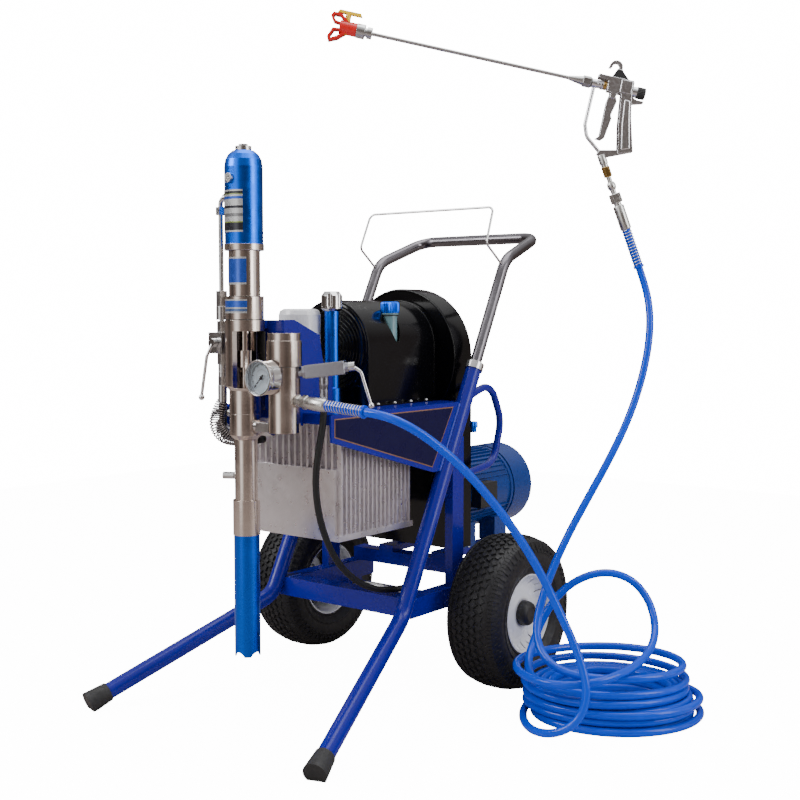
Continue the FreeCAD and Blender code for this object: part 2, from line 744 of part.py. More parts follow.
# ---------------------------------------------------------------- high pressure filter and gauge
MANIFOLD = cart(size("manifold_x"), size("column_y"), 0)
PORT_DEPTH = 10
OUTLET_LINE = Vector(math.cos(math.radians(3)), math.sin(math.radians(3)), -0.085).normalize()
OUTLET_AT = MANIFOLD + Vector(0, 0, 639)
DRAIN_TURN, DRAIN_RISE = 28, 7
DRAIN_LINE = Rotation(DRAIN_TURN, -DRAIN_RISE, 0).multVec(Vector(1, 0, 0))
DRAIN_AT = MANIFOLD + Vector(0, 0, 685)
FRONT = Vector(0, -1, 0)
GAUGE_AT = MANIFOLD + Vector(0, 0, size("gauge_height"))


def manifold():
    """Filter bowl and its screwed cap, two pieces on one axis."""
    bowl = stepped([("manifold_radius", 576, 699.9)])
    bowl.Placement.Base = MANIFOLD
    ports = [rod(8.5, OUTLET_AT, OUTLET_AT + OUTLET_LINE * 60), rod(8.5, DRAIN_AT, DRAIN_AT + DRAIN_LINE * 60),
             rod(7.5, GAUGE_AT, GAUGE_AT + FRONT * 60)]
    top = stepped([("cap_radius", 700, 748), (31, 748, 762)])
    top.Placement.Base = MANIFOLD
    return group(cut(bowl, *ports), top)


def gauge_case():
    """Cup with a dial plate, a centre pin and the stem that screws into the filter."""
    radius = size("gauge_radius")
    return turned([(0, 12), (7.4, 12), (7.4, 38), (12, 38), (12, 41), (radius - 1, 41), (radius - 1, 65),
                   (radius, 65), (radius, 71), (radius - 3, 71), (radius - 3, 58), (1.5, 58), (1.5, 65),
                   (0, 65)])


def gauge_needle():
    blade = [(-1.2, -8), (1.2, -8), (0.5, 25), (-0.5, 25)]
    arm = plate("XY", [blade], 61, 62)
    hub = rod(3.4, cart(0, 0, 60.5), cart(0, 0, 63))
    bore = rod(1.56, cart(0, 0, 60), cart(0, 0, 65))
    needle = cut(fuse(arm, hub), bore)
    return needle


node("manifold", manifold())
FACING = Rotation(Vector(0, 0, 1), FRONT)
node("gauge_case", gauge_case(), GAUGE_AT, FACING)
node("gauge_glass", stepped([(("gauge_radius", -3.05), 67, 69.5)]), GAUGE_AT, FACING)
DIAL_REST = 138             # the needle's angle from straight up, at rest
node("gauge_needle", gauge_needle(), GAUGE_AT, FACING.multiply(Rotation(Vector(0, 0, 1), DIAL_REST)))

# ---------------------------------------------------------------- hydraulic line, valves and levers
LINE_X = -63


def hydraulic_line():
    """Steel pressure tube down the side of the pump to a shut-off block, with its nuts."""
    y = size("column_y")
    tube = pipe([cart(-36.4, y, 1020), cart(LINE_X, y, 1020), cart(LINE_X, y, 760)], 4.7, [12])
    elbow = fuse(rod(8, cart(-36.4, y, 1020), cart(-52, y, 1020)), hexagon(17, cart(LINE_X, y, 988),
                 cart(LINE_X, y, 1003)))
    nuts = fuse(hexagon(19, cart(LINE_X, y, 812), cart(LINE_X, y, 842)),
                rod(11, cart(LINE_X, y, 786), cart(LINE_X, y, 812)),
                hexagon(17, cart(LINE_X, y, 762), cart(LINE_X, y, 784)))
    valve_block = block((-82, y - 18, 721), (-46, y + 18, 762))
    tail = fuse(hexagon(17, cart(LINE_X, y, 700), cart(LINE_X, y, 721)),
                rod(8, cart(LINE_X, y, 676), cart(LINE_X, y, 700)),
                hexagon(15, cart(LINE_X, y, 659), cart(LINE_X, y, 676)),
                rod(9, cart(LINE_X, y, 626), cart(LINE_X, y, 659)))
    seat = rod(6.06, cart(LINE_X, y - 18.5, 742), cart(LINE_X, y - 8, 742))
    return cut(fuse(tube, elbow, nuts, valve_block, tail), seat)


def hydraulic_lever():
    y = size("column_y")
    pivot = cart(LINE_X, y - 9, 742)
    boss = fuse(rod(6, pivot, pivot + FRONT * 18), rod(8.5, pivot + FRONT * 10, pivot + FRONT * 20))
    arm = pipe([pivot + FRONT * 16, pivot + cart(-8, -24, -26), pivot + cart(-24, -24, -104)], 3.2, [14])
    ball = doc.addObject("Part::Sphere", "Ball")
    ball.Radius = 6
    ball.Placement.Base = pivot + cart(-24, -24, -106)
    return fuse(boss, arm, ball)


def hydraulic_hose():
    y = size("column_y")
    points = [cart(LINE_X, y, 626), cart(LINE_X, y, 562), cart(LINE_X, y + 58, 543), cart(LINE_X, -383, 545)]
    return pipe(points, "oil_hose_radius", [24, 30])


def along(start, direction, distance):
    return start + direction * distance


def drain_valve():
    """Pressure-relief valve: thread, hexagon, body block, spindle nut and the spout below it."""
    def at(distance):
        return along(DRAIN_AT, DRAIN_LINE, distance)
    stub = rod(8.4, at(24), at(37))
    collar_nut = hexagon(22, at(36), at(46))
    body = doc.addObject("Part::Box", "Body")
    body.Length, body.Width, body.Height = 76, 25, 25
    turn = Rotation(DRAIN_TURN, -DRAIN_RISE, 0)
    body.Placement = Placement(at(42) + turn.multVec(Vector(0, -12.5, -12.5)), turn)
    end_nut = hexagon(17, at(118), at(124))
    spout_top = at(76)
    spout = [rod(9, spout_top, spout_top - Vector(0, 0, 28)), hexagon(15, spout_top - Vector(0, 0, 22),
             spout_top - Vector(0, 0, 36)), rod(8, spout_top - Vector(0, 0, 36), spout_top - Vector(0, 0, 58))]
    bore = rod(5.06, at(100), at(125))
    return cut(fuse(stub, collar_nut, body, end_nut, *spout), bore)


def drain_lever():
    def at(distance):
        return along(DRAIN_AT, DRAIN_LINE, distance)
    down = Vector(0.12, 0.02, -1).normalize()
    spindle = rod(5, at(101), at(130))
    nut = rod(8.5, at(124.2), at(136))
    arm = pipe([at(131), at(146) + down * 12, at(158) + down * 74], 3.4, [12])
    ball = doc.addObject("Part::Sphere", "Ball")
    ball.Radius = 6
    ball.Placement.Base = at(158.5) + down * 76
    return fuse(spindle, nut, arm, ball)


node("hydraulic_line", hydraulic_line())
node("hydraulic_lever", hydraulic_lever())
node("hydraulic_hose", hydraulic_hose())
node("drain_valve", drain_valve())
node("drain_lever", drain_lever())
OUTLET_END = 188            # from the filter's axis to the end of the spring guard
outlet = stepped([(8.4, 24, 31), (11, 31, 36), (13.5, 36, 47), (9, 47, 52), (13, 52, 100), (11.6, 100, 182),
                  (12.6, 182, OUTLET_END)])
node("outlet_fitting", outlet, OUTLET_AT, towards(OUTLET_LINE))

# ---------------------------------------------------------------- spray gun on its extension pole
GUN_AT = cart(441, 138, 1273)
GUN_AZIMUTH, GUN_DROOP = 37.8, 12.3
GUN_TURN = Rotation(Vector(0, 0, 1), GUN_AZIMUTH).multiply(Rotation(Vector(0, 1, 0), GUN_DROOP))
TAIL_FROM = Vector(4, 0, -146)
TAIL_LINE = Vector(0.527, 0, -0.85).normalize()
TAIL_LENGTH = 250
BARREL = -6.0
ALONG_BARREL = Rotation(Vector(0, 0, 1), Vector(-1, 0, 0))


def gun_body():
    """Forged body, grip, hanging hook, needle housing and the fluid tube with the swivel's socket."""
    block_top = plate("XZ", [[(-37, 14), (36, 14), (38, 10), (38, -17), (-14, -17), (-16, 4), (-37, 6)]], -11, 11)
    lock = plate("XZ", [[(-9, 14), (-2, 32), (8, 32), (24, 14)]], -8, 8)
    hook = plate("XZ", [[(9, 31), (8, 38, (-3, 49)), (-19, 36), (-21, 31), (-15, 31), (-13, 35, (-4, 42)),
                         (0, 31)]], -5, 5)
    grip = plate("XZ", [[(16, -17), (38, -17), (47, -60), (66, -128), (36, -137), (24, -80)]], -11, 11)
    spur = plate("XZ", [[(38, -17), (50, -22), (65, -22), (65, -26), (44, -32), (36, -30)]], -7, 7)
    foot = plate("XZ", [[(-6, -148), (14, -150), (66, -128), (36, -130), (0, -138)]], -8, 8)
    rear = rod(11, cart(37, 0, BARREL), cart(65, 0, BARREL))
    front = rod(8.5, cart(-37, 0, BARREL), cart(-12, 0, BARREL))
    fluid_tube = pipe([cart(-42, 0, BARREL), cart(-42.7, 0, -92), cart(-34, 0, -116), TAIL_FROM - TAIL_LINE * 2],
                      4, [16, 24])
    ring = rod(9, cart(-50, 0, BARREL), cart(-36, 0, BARREL))
    socket = rod(8, TAIL_FROM - TAIL_LINE * 6, TAIL_FROM)
    pin = rod(2.5, cart(0, -11, -24), cart(0, 11, -24))
    ears = [plate("XZ", [[(-7, -17), (8, -17), (5, -30), (-5, -30)]], y, y + 3) for y in (-11, 8)]
    swivel_room = rod(9.06, TAIL_FROM, TAIL_FROM + TAIL_LINE * 60)
    whole = fuse(block_top, lock, hook, grip, spur, foot, rear, front, fluid_tube, ring, socket, pin, *ears)
    return cut(whole, swivel_room)


def gun_trigger():
    """Two-finger trigger that swings on its pin under the body."""
    blade = plate("XZ", [[(-6, -18.5), (4, -18.5), (11, -34), (5, -64), (8, -70), (2, -112), (-4, -118),
                          (-16, -117), (-9, -110), (-10, -40)]], -7.8, 7.8)
    return cut(blade, rod(2.56, cart(0, -20, -24), cart(0, 20, -24)))


def gun_pole():
    """Extension pole with its tapered adaptor; the outline is (radius, distance from the tip's end)."""
    pole = stepped([(4, 97, 516), (12, 516, 526), (9, 526, 531), (15, 531, 548)])
    pole.Placement = Placement(cart(0, 0, BARREL), ALONG_BARREL)
    cone = taper(10, 4.5, cart(-66, 0, BARREL), cart(-97.5, 0, BARREL))
    nut = hexagon(21, cart(-50.2, 0, BARREL), cart(-67, 0, BARREL))
    return fuse(pole, cone, nut)


def tip_guard():
    """Ring with an upper and a lower wing; the ring turns on the pole's nut."""
    ring = rod(14, cart(-548.2, 0, BARREL), cart(-584, 0, BARREL))
    upper = [(-566, 4), (-584, 20), (-602, 20), (-606, 12), (-598, 0), (-580, -2)]
    upper_gap = [(-576, 5), (-587, 15), (-598, 15), (-600, 11), (-594, 4), (-583, 2)]
    lower = [(x, 2 * BARREL - z - (8 if i in (2, 3) else 0)) for i, (x, z) in enumerate(upper)]
    lower_gap = [(x, 2 * BARREL - z - (6 if i in (2, 3) else 0)) for i, (x, z) in enumerate(upper_gap)]
    wings = [plate("XZ", [upper, upper_gap], -10, 10), plate("XZ", [lower, lower_gap], -10, 10)]
    tip_bore = rod(6.06, cart(-571, 0, -40), cart(-571, 0, 40))
    return cut(fuse(ring, *wings), tip_bore)


def spray_tip():
    """Reversible tip: a drum across the guard with an arrow-shaped key above it."""
    drum = rod(6, cart(-571, 0, -18), cart(-571, 0, 24))
    key = plate("XZ", [[(-594, 22), (-590, 28), (-546, 28), (-542, 22)]], -6, 6)
    return fuse(drum, key)


def gun_swivel():
    """Swivel, ball joint, nut, ferrule and spring guard on the hose's gun end."""
    return stepped([(9, 0.1, 50), (5.5, 50, 60), (9.5, 60, 78), (6, 78, 86), (12.5, 86, 108),
                    (8, 108, 112), (11.5, 112, 165), (11, 165, 244), (11.8, 244, TAIL_LENGTH)])


node("gun_body", gun_body(), GUN_AT, GUN_TURN)
node("gun_trigger", gun_trigger(), GUN_AT, GUN_TURN)
node("gun_pole", gun_pole(), GUN_AT, GUN_TURN)
node("tip_guard", tip_guard(), GUN_AT, GUN_TURN)
node("spray_tip", spray_tip(), GUN_AT, GUN_TURN)
TAIL_AT = GUN_AT + GUN_TURN.multVec(TAIL_FROM)
TAIL_WORLD = GUN_TURN.multVec(TAIL_LINE)
node("gun_swivel", gun_swivel(), TAIL_AT, towards(TAIL_WORLD))

# ---------------------------------------------------------------- hoses that lie free
COIL_AT = cart(536, -25, 0)
COIL_TURN = 37.8            # the coil's long axis, from +X towards +Y
COIL_HEIGHT = 95


def hose_coil():
    """The space that the loose turns of the coil fill: an oval ring on the floor."""
    body = doc.addObject("PartDesign::Body", "Coil")
    sketch = draw(body, "XY", [])
    for long_half, short_half in ((198, 165), (100, 70)):
        outline = Part.Ellipse(Vector(0, 0, 0), long_half, short_half)
        sketch.addGeometry(outline, False)
    pad = body.newObject("PartDesign::Pad", "Height")
    pad.Profile = sketch
    pad.Length = COIL_HEIGHT
    return body


def by_coil(right, back, height):
    """A point beside the coil: along its long axis, along its short axis, and above the floor."""
    turn = math.radians(COIL_TURN)
    return COIL_AT + cart(right * math.cos(turn) - back * math.sin(turn),
                          right * math.sin(turn) + back * math.cos(turn), height)


HOSE_START = OUTLET_AT + OUTLET_LINE * OUTLET_END
HOSE_END = TAIL_AT + TAIL_WORLD * TAIL_LENGTH
FEED_ROUTE = [HOSE_START, HOSE_START + OUTLET_LINE * 52, cart(384, -466, 592), cart(408, -428, 560),
              cart(428, -384, 518), cart(447, -336, 468), cart(464, -288, 410), by_coil(-177, -137, 350),
              by_coil(-148, -126, 290), by_coil(-124, -128, 236), by_coil(-106, -138, 186),
              by_coil(-96, -148, 138), by_coil(-92, -154, COIL_HEIGHT)]
RISER_ROUTE = [HOSE_END, HOSE_END + TAIL_WORLD * 50, cart(522, 160, 796), cart(522, 152, 736),
               cart(517, 138, 674), cart(508, 114, 606), cart(495, 82, 544), cart(477, 44, 478),
               cart(456, 2, 412), cart(437, -40, 346), cart(424, -74, 284), cart(416, -96, 226),
               cart(413, -106, 174), cart(414, -110, 130), cart(417, -112, COIL_HEIGHT)]
LOOP_ROUTE = [by_coil(-124, 62, COIL_HEIGHT), by_coil(-131, 63, 140), by_coil(-130, 62, 186),
              by_coil(-105, 62, 232), by_coil(-60, 63, 268), by_coil(0, 62, 286), by_coil(54, 62, 268),
              by_coil(84, 52, 226), by_coil(94, 28, 182), by_coil(88, -8, 142), by_coil(66, -50, 116),
              by_coil(30, -96, 105), by_coil(-8, -132, 101), by_coil(-34, -152, 92)]
DRAIN_START = DRAIN_AT + DRAIN_LINE * 76 - Vector(0, 0, 58)
DRAIN_ROUTE = [DRAIN_START, DRAIN_START + cart(0, 0, -36), cart(161, -477, 548), cart(154, -479, 500),
               cart(149, -472, 452), cart(143, -454, 404), cart(135, -424, 356), cart(127, -384, 310),
               cart(122, -336, 272), cart(121, -284, 244), cart(124, -236, 230), cart(132, -192, 226),
               cart(143, -156, 230)]
node("paint_hose", group(hose("paint hose, outlet to coil", FEED_ROUTE, "hose_radius"),
                         hose("paint hose, standing loop", LOOP_ROUTE, "hose_radius"),
                         hose("paint hose, coil to gun", RISER_ROUTE, "hose_radius")))
node("hose_coil", hose_coil(), COIL_AT, Rotation(Vector(0, 0, 1), COIL_TURN))
node("drain_hose", hose("drain hose", DRAIN_ROUTE, "drain_radius"))

# ---------------------------------------------------------------- check and write
doc.recompute()
failed = [obj.Label for obj in doc.Objects if {"Invalid", "Error"} & set(obj.State)]
for label, obj in NODES.items():
    shape = obj.Shape
    if shape.isNull() or not shape.isValid() or not shape.Solids:
        failed.append(label)
if failed:
    raise SystemExit("failed: %s" % failed)
os.makedirs("parts", exist_ok=True)
box = FreeCAD.BoundBox()
for label, obj in NODES.items():
    obj.Shape.exportStep("parts/%s.step" % label)
    if label not in ("paint_hose", "hose_coil", "drain_hose"):
        box.add(obj.Shape.BoundBox)
print("%d nodes, box %.0f..%.0f, %.0f..%.0f, %.0f..%.0f"
      % (len(NODES), box.XMin, box.XMax, box.YMin, box.YMax, box.ZMin, box.ZMax))
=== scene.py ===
import math

import bmesh
import bpy
from mathutils import Matrix, Quaternion, Vector, noise


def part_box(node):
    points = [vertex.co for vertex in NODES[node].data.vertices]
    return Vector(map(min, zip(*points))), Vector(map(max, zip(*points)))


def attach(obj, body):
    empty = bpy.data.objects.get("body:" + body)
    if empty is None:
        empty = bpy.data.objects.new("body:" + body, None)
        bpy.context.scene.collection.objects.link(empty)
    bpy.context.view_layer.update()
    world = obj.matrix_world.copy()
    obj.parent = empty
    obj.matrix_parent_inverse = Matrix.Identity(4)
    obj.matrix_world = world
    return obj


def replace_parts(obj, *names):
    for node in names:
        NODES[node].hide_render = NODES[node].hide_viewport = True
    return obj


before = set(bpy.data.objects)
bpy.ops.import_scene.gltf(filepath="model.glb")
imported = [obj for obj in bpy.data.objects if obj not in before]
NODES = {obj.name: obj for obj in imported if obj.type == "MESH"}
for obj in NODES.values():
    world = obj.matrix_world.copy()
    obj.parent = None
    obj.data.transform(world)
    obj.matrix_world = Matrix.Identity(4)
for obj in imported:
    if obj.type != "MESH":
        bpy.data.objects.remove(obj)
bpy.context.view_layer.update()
scene = bpy.context.scene

# The cart's own frame, as in the CAD: x = 0 on the centre plane, y = 0 at the wheel axle.
axle_low, axle_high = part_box("axle")
CART = Vector(((axle_low.x + axle_high.x) / 2, (axle_low.y + axle_high.y) / 2, 0))
AXLE_HEIGHT = (axle_low.z + axle_high.z) / 2
X, Y, Z = Vector((1, 0, 0)), Vector((0, 1, 0)), Vector((0, 0, 1))
SIDES = (-1, 1)


def at(x, y, z):
    """A point given in the cart's frame, in metres."""
    return CART + Vector((x, y, z))


# ---------------------------------------------------------------- camera
CAMERA_AT = (1.645, -2.1438, 0.7983)
CAMERA_AZIMUTH = math.radians(37.8)
CAMERA_DOWN = math.radians(4.118)
LOOKING = Vector((-math.sin(CAMERA_AZIMUTH) * math.cos(CAMERA_DOWN),
                  math.cos(CAMERA_AZIMUTH) * math.cos(CAMERA_DOWN), -math.sin(CAMERA_DOWN)))
camera = bpy.data.objects.new("camera", bpy.data.cameras.new("camera"))
camera.data.sensor_width = 36
camera.data.lens = 54.05
camera.location = at(*CAMERA_AT)
camera.rotation_euler = LOOKING.to_track_quat("-Z", "Y").to_euler()
scene.collection.objects.link(camera)
scene.camera = camera


# ---------------------------------------------------------------- material tools
class Shader:
    """A Principled material with short words for the nodes that shape it."""

    def __init__(self, name):
        self.material = bpy.data.materials.new(name)
        self.material.use_nodes = True
        self.tree = self.material.node_tree
        self.main = self.tree.nodes["Principled BSDF"]
        self.coords = self.add("ShaderNodeTexCoord").outputs["Object"]

    def add(self, kind, **settings):
        node = self.tree.nodes.new(kind)
        for key, value in settings.items():
            setattr(node, key, value)
        return node

    def put(self, socket, value):
        if isinstance(value, bpy.types.NodeSocket):
            self.tree.links.new(value, socket)
        elif socket.type == "RGBA" and len(value) == 3:
            socket.default_value = (*value, 1)
        else:
            socket.default_value = value

    def set(self, **inputs):
        for key, value in inputs.items():
            self.put(self.main.inputs[key.replace("_", " ")], value)
        return self

    def stretched(self, scale):
        mapping = self.add("ShaderNodeMapping")
        self.put(mapping.inputs["Vector"], self.coords)
        mapping.inputs["Scale"].default_value = scale
        return mapping.outputs["Vector"]

    def noise(self, scale, detail=3, rough=0.5, vector=None):
        node = self.add("ShaderNodeTexNoise")
        self.put(node.inputs["Vector"], vector or self.coords)
        node.inputs["Scale"].default_value = scale
        node.inputs["Detail"].default_value = detail
        node.inputs["Roughness"].default_value = rough
        return node.outputs["Fac"]

    def cells(self, scale, feature="F1"):
        node = self.add("ShaderNodeTexVoronoi", feature=feature)
        self.put(node.inputs["Vector"], self.coords)
        node.inputs["Scale"].default_value = scale
        return node.outputs["Distance"]

    def waves(self, scale, axis="Z", distortion=0.0, vector=None):
        node = self.add("ShaderNodeTexWave", bands_direction=axis)
        self.put(node.inputs["Vector"], vector or self.coords)
        node.inputs["Scale"].default_value = scale
        node.inputs["Distortion"].default_value = distortion
        return node.outputs["Fac"]

    def spread(self, fac, low, high, start=0.3, end=0.7):
        node = self.add("ShaderNodeMapRange")
        self.put(node.inputs["Value"], fac)
        node.inputs["From Min"].default_value = start
        node.inputs["From Max"].default_value = end
        node.inputs["To Min"].default_value = low
        node.inputs["To Max"].default_value = high
        return node.outputs["Result"]

    def blend(self, fac, a, b):
        node = self.add("ShaderNodeMix", data_type="RGBA")
        self.put(node.inputs["Factor"], fac)
        self.put(node.inputs["A"], a)
        self.put(node.inputs["B"], b)
        return node.outputs["Result"]

    def edges(self, softness=0.6):
        """Where the surface turns outwards sharply, from 0 to 1."""
        point = self.add("ShaderNodeNewGeometry").outputs["Pointiness"]
        return self.spread(point, 0, 1, 0.5, 0.5 + 0.1 * softness)

    def bump(self, height, strength, distance=0.0004, normal=None):
        node = self.add("ShaderNodeBump")
        self.put(node.inputs["Height"], height)
        node.inputs["Strength"].default_value = strength
        node.inputs["Distance"].default_value = distance
        if normal is not None:
            self.put(node.inputs["Normal"], normal)
        return node.outputs["Normal"]

    def rounded(self, radius):
        node = self.add("ShaderNodeBevel", samples=4)
        node.inputs["Radius"].default_value = radius
        return node.outputs["Normal"]


def shade(color, factor):
    return tuple(min(1.0, c * factor) for c in color)


def surface(name, color, rough, metal=0.0, patch=9.0, vary=0.12, grain=900.0, grain_depth=0.08,
            edge=0.0008, coat=0.0, **extra):
    """Paint, plastic or plain metal: patchy colour and gloss, fine grain, softened edges."""
    s = Shader(name)
    patches = s.noise(patch, 4)
    fine = s.noise(grain, 2)
    s.set(Base_Color=s.blend(patches, shade(color, 1 - vary), shade(color, 1 + vary)),
          Roughness=s.spread(s.noise(patch * 5, 4), rough * 0.75, rough * 1.3), Metallic=metal,
          Coat_Weight=coat, Coat_Roughness=0.04, **extra)
    s.set(Normal=s.bump(fine, grain_depth, normal=s.rounded(edge)))
    return s


def turned_metal(name, color, rough, lines=900.0, depth=0.12, axis="Z", edge=0.0008):
    """Lathe-turned or brushed metal: fine rings across one axis and smudged gloss."""
    s = Shader(name)
    rings = s.waves(lines, axis, 2.0)
    smudge = s.noise(22, 4)
    streaks = s.noise(60, 3, vector=s.stretched({"X": (8, 1, 1), "Y": (1, 8, 1), "Z": (1, 1, 8)}[axis]))
    s.set(Base_Color=s.blend(streaks, shade(color, 0.86), shade(color, 1.08)), Metallic=1.0,
          Roughness=s.spread(smudge, rough * 0.7, rough * 1.5))
    s.set(Normal=s.bump(rings, depth, 0.00005, normal=s.rounded(edge)))
    return s


# ---------------------------------------------------------------- shape tools
def show(name, mesh, body, material, smooth=None):
    """Put a mesh in the scene: body is what it moves with, smooth the angle of its sharp edges."""
    obj = bpy.data.objects.new(name, mesh)
    scene.collection.objects.link(obj)
    obj.data.materials.append(material)
    if smooth is not None:
        mesh.polygons.foreach_set("use_smooth", [True] * len(mesh.polygons))
        mesh.set_sharp_from_angle(angle=math.radians(smooth))
    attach(obj, body)
    return obj


def from_bmesh(name, bm, body, material, smooth=35):
    bmesh.ops.recalc_face_normals(bm, faces=bm.faces)
    mesh = bpy.data.meshes.new(name)
    bm.to_mesh(mesh)
    bm.free()
    return show(name, mesh, body, material, smooth)


def soften(obj, width, segments=2, angle=40):
    bevel = obj.modifiers.new("soft edges", "BEVEL")
    bevel.width = width
    bevel.segments = segments
    bevel.limit_method = "ANGLE"
    bevel.angle_limit = math.radians(angle)
    bevel.harden_normals = True
    return obj


def axes_at(origin, along, up=Z):
    """A matrix whose Z is along and whose X is as near up as it can be."""
    z = Vector(along).normalized()
    x = (Vector(up) - z * Vector(up).dot(z))
    if x.length < 1e-6:
        x = Vector((1, 0, 0)) - z * z.x
    x.normalize()
    y = z.cross(x)
    matrix = Matrix((x, y, z)).transposed().to_4x4()
    matrix.translation = origin
    return matrix


def add_lathe(bm, place, profile, steps=48):
    """Spin a (radius, height) profile about the Z axis of place."""
    rings = []
    for radius, height in profile:
        if radius < 1e-6:
            rings.append([bm.verts.new(place @ Vector((0, 0, height)))])
            continue
        ring = []
        for i in range(steps):
            angle = 2 * math.pi * i / steps
            ring.append(bm.verts.new(place @ Vector((radius * math.cos(angle), radius * math.sin(angle), height))))
        rings.append(ring)
    for low, high in zip(rings, rings[1:]):
        for i in range(steps):
            j = (i + 1) % steps
            corners = [low[i % len(low)], low[j % len(low)], high[j % len(high)], high[i % len(high)]]
            unique = list(dict.fromkeys(corners))
            if len(unique) > 2:
                bm.faces.new(unique)


def lathe(name, place, profile, body, material, steps=48, smooth=35):
    bm = bmesh.new()
    add_lathe(bm, place, profile, steps)
    return from_bmesh(name, bm, body, material, smooth)


def add_box(bm, place, low, high):
    corners = [bm.verts.new(place @ Vector((x, y, z))) for x in (low[0], high[0]) for y in (low[1], high[1])
               for z in (low[2], high[2])]
    for face in ((0, 1, 3, 2), (4, 6, 7, 5), (0, 4, 5, 1), (2, 3, 7, 6), (0, 2, 6, 4), (1, 5, 7, 3)):
        bm.faces.new([corners[i] for i in face])
    return corners


def add_prism(bm, place, outline, low, high):
    """An outline of (x, y) points extruded along the Z axis of place."""
    bottom = [bm.verts.new(place @ Vector((x, y, low))) for x, y in outline]
    top = [bm.verts.new(place @ Vector((x, y, high))) for x, y in outline]
    bm.faces.new(bottom[::-1])
    bm.faces.new(top)
    count = len(outline)
    for i in range(count):
        j = (i + 1) % count
        bm.faces.new([bottom[i], bottom[j], top[j], top[i]])


def hex_outline(across_flats, turn=0.0):
    radius = across_flats / math.sqrt(3)
    return [(radius * math.cos(turn + i * math.pi / 3), radius * math.sin(turn + i * math.pi / 3))
            for i in range(6)]


def wire(name, points, radius, body, material, smooth_line=True, cyclic=False, resolution=8, sides=4):
    """A round bar along points: a smooth spline through control points, or straight runs."""
    curve = bpy.data.curves.new(name, "CURVE")
    curve.dimensions = "3D"
    spline = curve.splines.new("NURBS" if smooth_line else "POLY")
    spline.points.add(len(points) - 1)
    for spot, point in zip(spline.points, points):
        spot.co = (*point, 1)
    spline.use_cyclic_u = cyclic
    if smooth_line:
        spline.order_u = 3
        spline.use_endpoint_u = not cyclic
        spline.resolution_u = resolution
    curve.bevel_depth = radius
    curve.bevel_resolution = sides
    curve.use_fill_caps = not cyclic
    obj = bpy.data.objects.new(name, curve)
    scene.collection.objects.link(obj)
    obj.data.materials.append(material)
    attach(obj, body)
    return obj


def helix_points(place, radius, start, end, turns, per_turn=14):
    count = int(turns * per_turn)
    return [place @ Vector((radius * math.cos(2 * math.pi * i / per_turn),
                            radius * math.sin(2 * math.pi * i / per_turn),
                            start + (end - start) * i / count)) for i in range(count + 1)]


def finish_cad(names, shader):
    """Give CAD nodes their material."""
    for name in names:
        node = NODES[name]
        node.data.materials.clear()
        node.data.materials.append(shader.material)


# ---------------------------------------------------------------- materials
BLUE = (0.005, 0.005, 0.24)
NAVY = (0.007, 0.005, 0.040)
frame_blue = surface("frame_blue", BLUE, 0.24, patch=6, vary=0.12, grain=350, grain_depth=0.06, coat=0.1,
                     Specular_IOR_Level=0.3)
panel_navy = surface("panel_navy", NAVY, 0.3, patch=6, vary=0.12, grain=500, grain_depth=0.01,
                     Specular_IOR_Level=0.12)
copper_line = surface("copper_line", (0.30, 0.16, 0.11), 0.4, metal=0.6, grain=700)
gloss_black = surface("gloss_black", (0.002, 0.002, 0.0028), 0.15, patch=5, vary=0.2, grain=260,
                      grain_depth=0.05, coat=0.1, Specular_IOR_Level=0.25)
black_plastic = surface("black_plastic", (0.012, 0.012, 0.013), 0.45, grain=1400, grain_depth=0.3)
cap_rubber = surface("cap_rubber", (0.016, 0.016, 0.017), 0.62, grain=900, grain_depth=0.45)
cast_alloy = surface("cast_alloy", (0.74, 0.71, 0.73), 0.33, metal=0.9, patch=14, vary=0.16, grain=420,
                     grain_depth=0.12, edge=0.0012)
motor_blue = surface("motor_blue", (0.002, 0.030, 0.19), 0.3, patch=12, vary=0.14, grain=380, grain_depth=0.3,
                     edge=0.0015, coat=0.15, Specular_IOR_Level=0.35)
zinc = surface("zinc", (0.62, 0.62, 0.60), 0.28, metal=1.0, patch=25, vary=0.12, grain=1200)
nickel = turned_metal("nickel", (0.74, 0.65, 0.59), 0.17, lines=420, depth=0.10)
bright_steel = turned_metal("bright_steel", (0.66, 0.66, 0.66), 0.2, lines=700, depth=0.15)
chrome = surface("chrome", (0.72, 0.72, 0.73), 0.1, metal=1.0, patch=30, vary=0.06, grain=1500, grain_depth=0.03)
# Dark steel for the handle, also used as painted shade for the liner inside the coupling window.
dark_steel = turned_metal("dark_steel", (0.17, 0.16, 0.175), 0.24, lines=300, depth=0.2, axis="Z")
anodised = turned_metal("anodised", (0.010, 0.15, 0.92), 0.27, lines=700, depth=0.08)
rubber = surface("rubber", (0.010, 0.010, 0.011), 0.5, grain=600, grain_depth=0.4, Specular_IOR_Level=0.35)
cast_iron = surface("cast_iron", (0.10, 0.10, 0.105), 0.5, metal=0.6, grain=500, grain_depth=0.5)
white_paint = surface("white_paint", (0.78, 0.79, 0.82), 0.25, patch=7, vary=0.06, grain=500, coat=0.4)
hose_blue = surface("hose_blue", (0.0006, 0.052, 0.58), 0.16, patch=20, vary=0.14, grain=240, grain_depth=0.04,
                    coat=0.1, Specular_IOR_Level=0.3)
gun_alloy = surface("gun_alloy", (0.86, 0.87, 0.90), 0.2, metal=1.0, patch=40, vary=0.1, grain=700,
                    grain_depth=0.2, edge=0.0020)
red_plastic = surface("red_plastic", (0.62, 0.006, 0.006), 0.3, patch=30, vary=0.14, grain=1200, coat=0.3)
yellow_plastic = surface("yellow_plastic", (0.86, 0.55, 0.01), 0.32, patch=30, vary=0.12, grain=1200, coat=0.3)
needle_black = surface("needle_black", (0.01, 0.01, 0.01), 0.4, patch=60)
tyre_rubber = surface("tyre_rubber", (0.008, 0.008, 0.010), 0.5, patch=18, vary=0.3, grain=520,
                      grain_depth=0.5, Specular_IOR_Level=0.4)
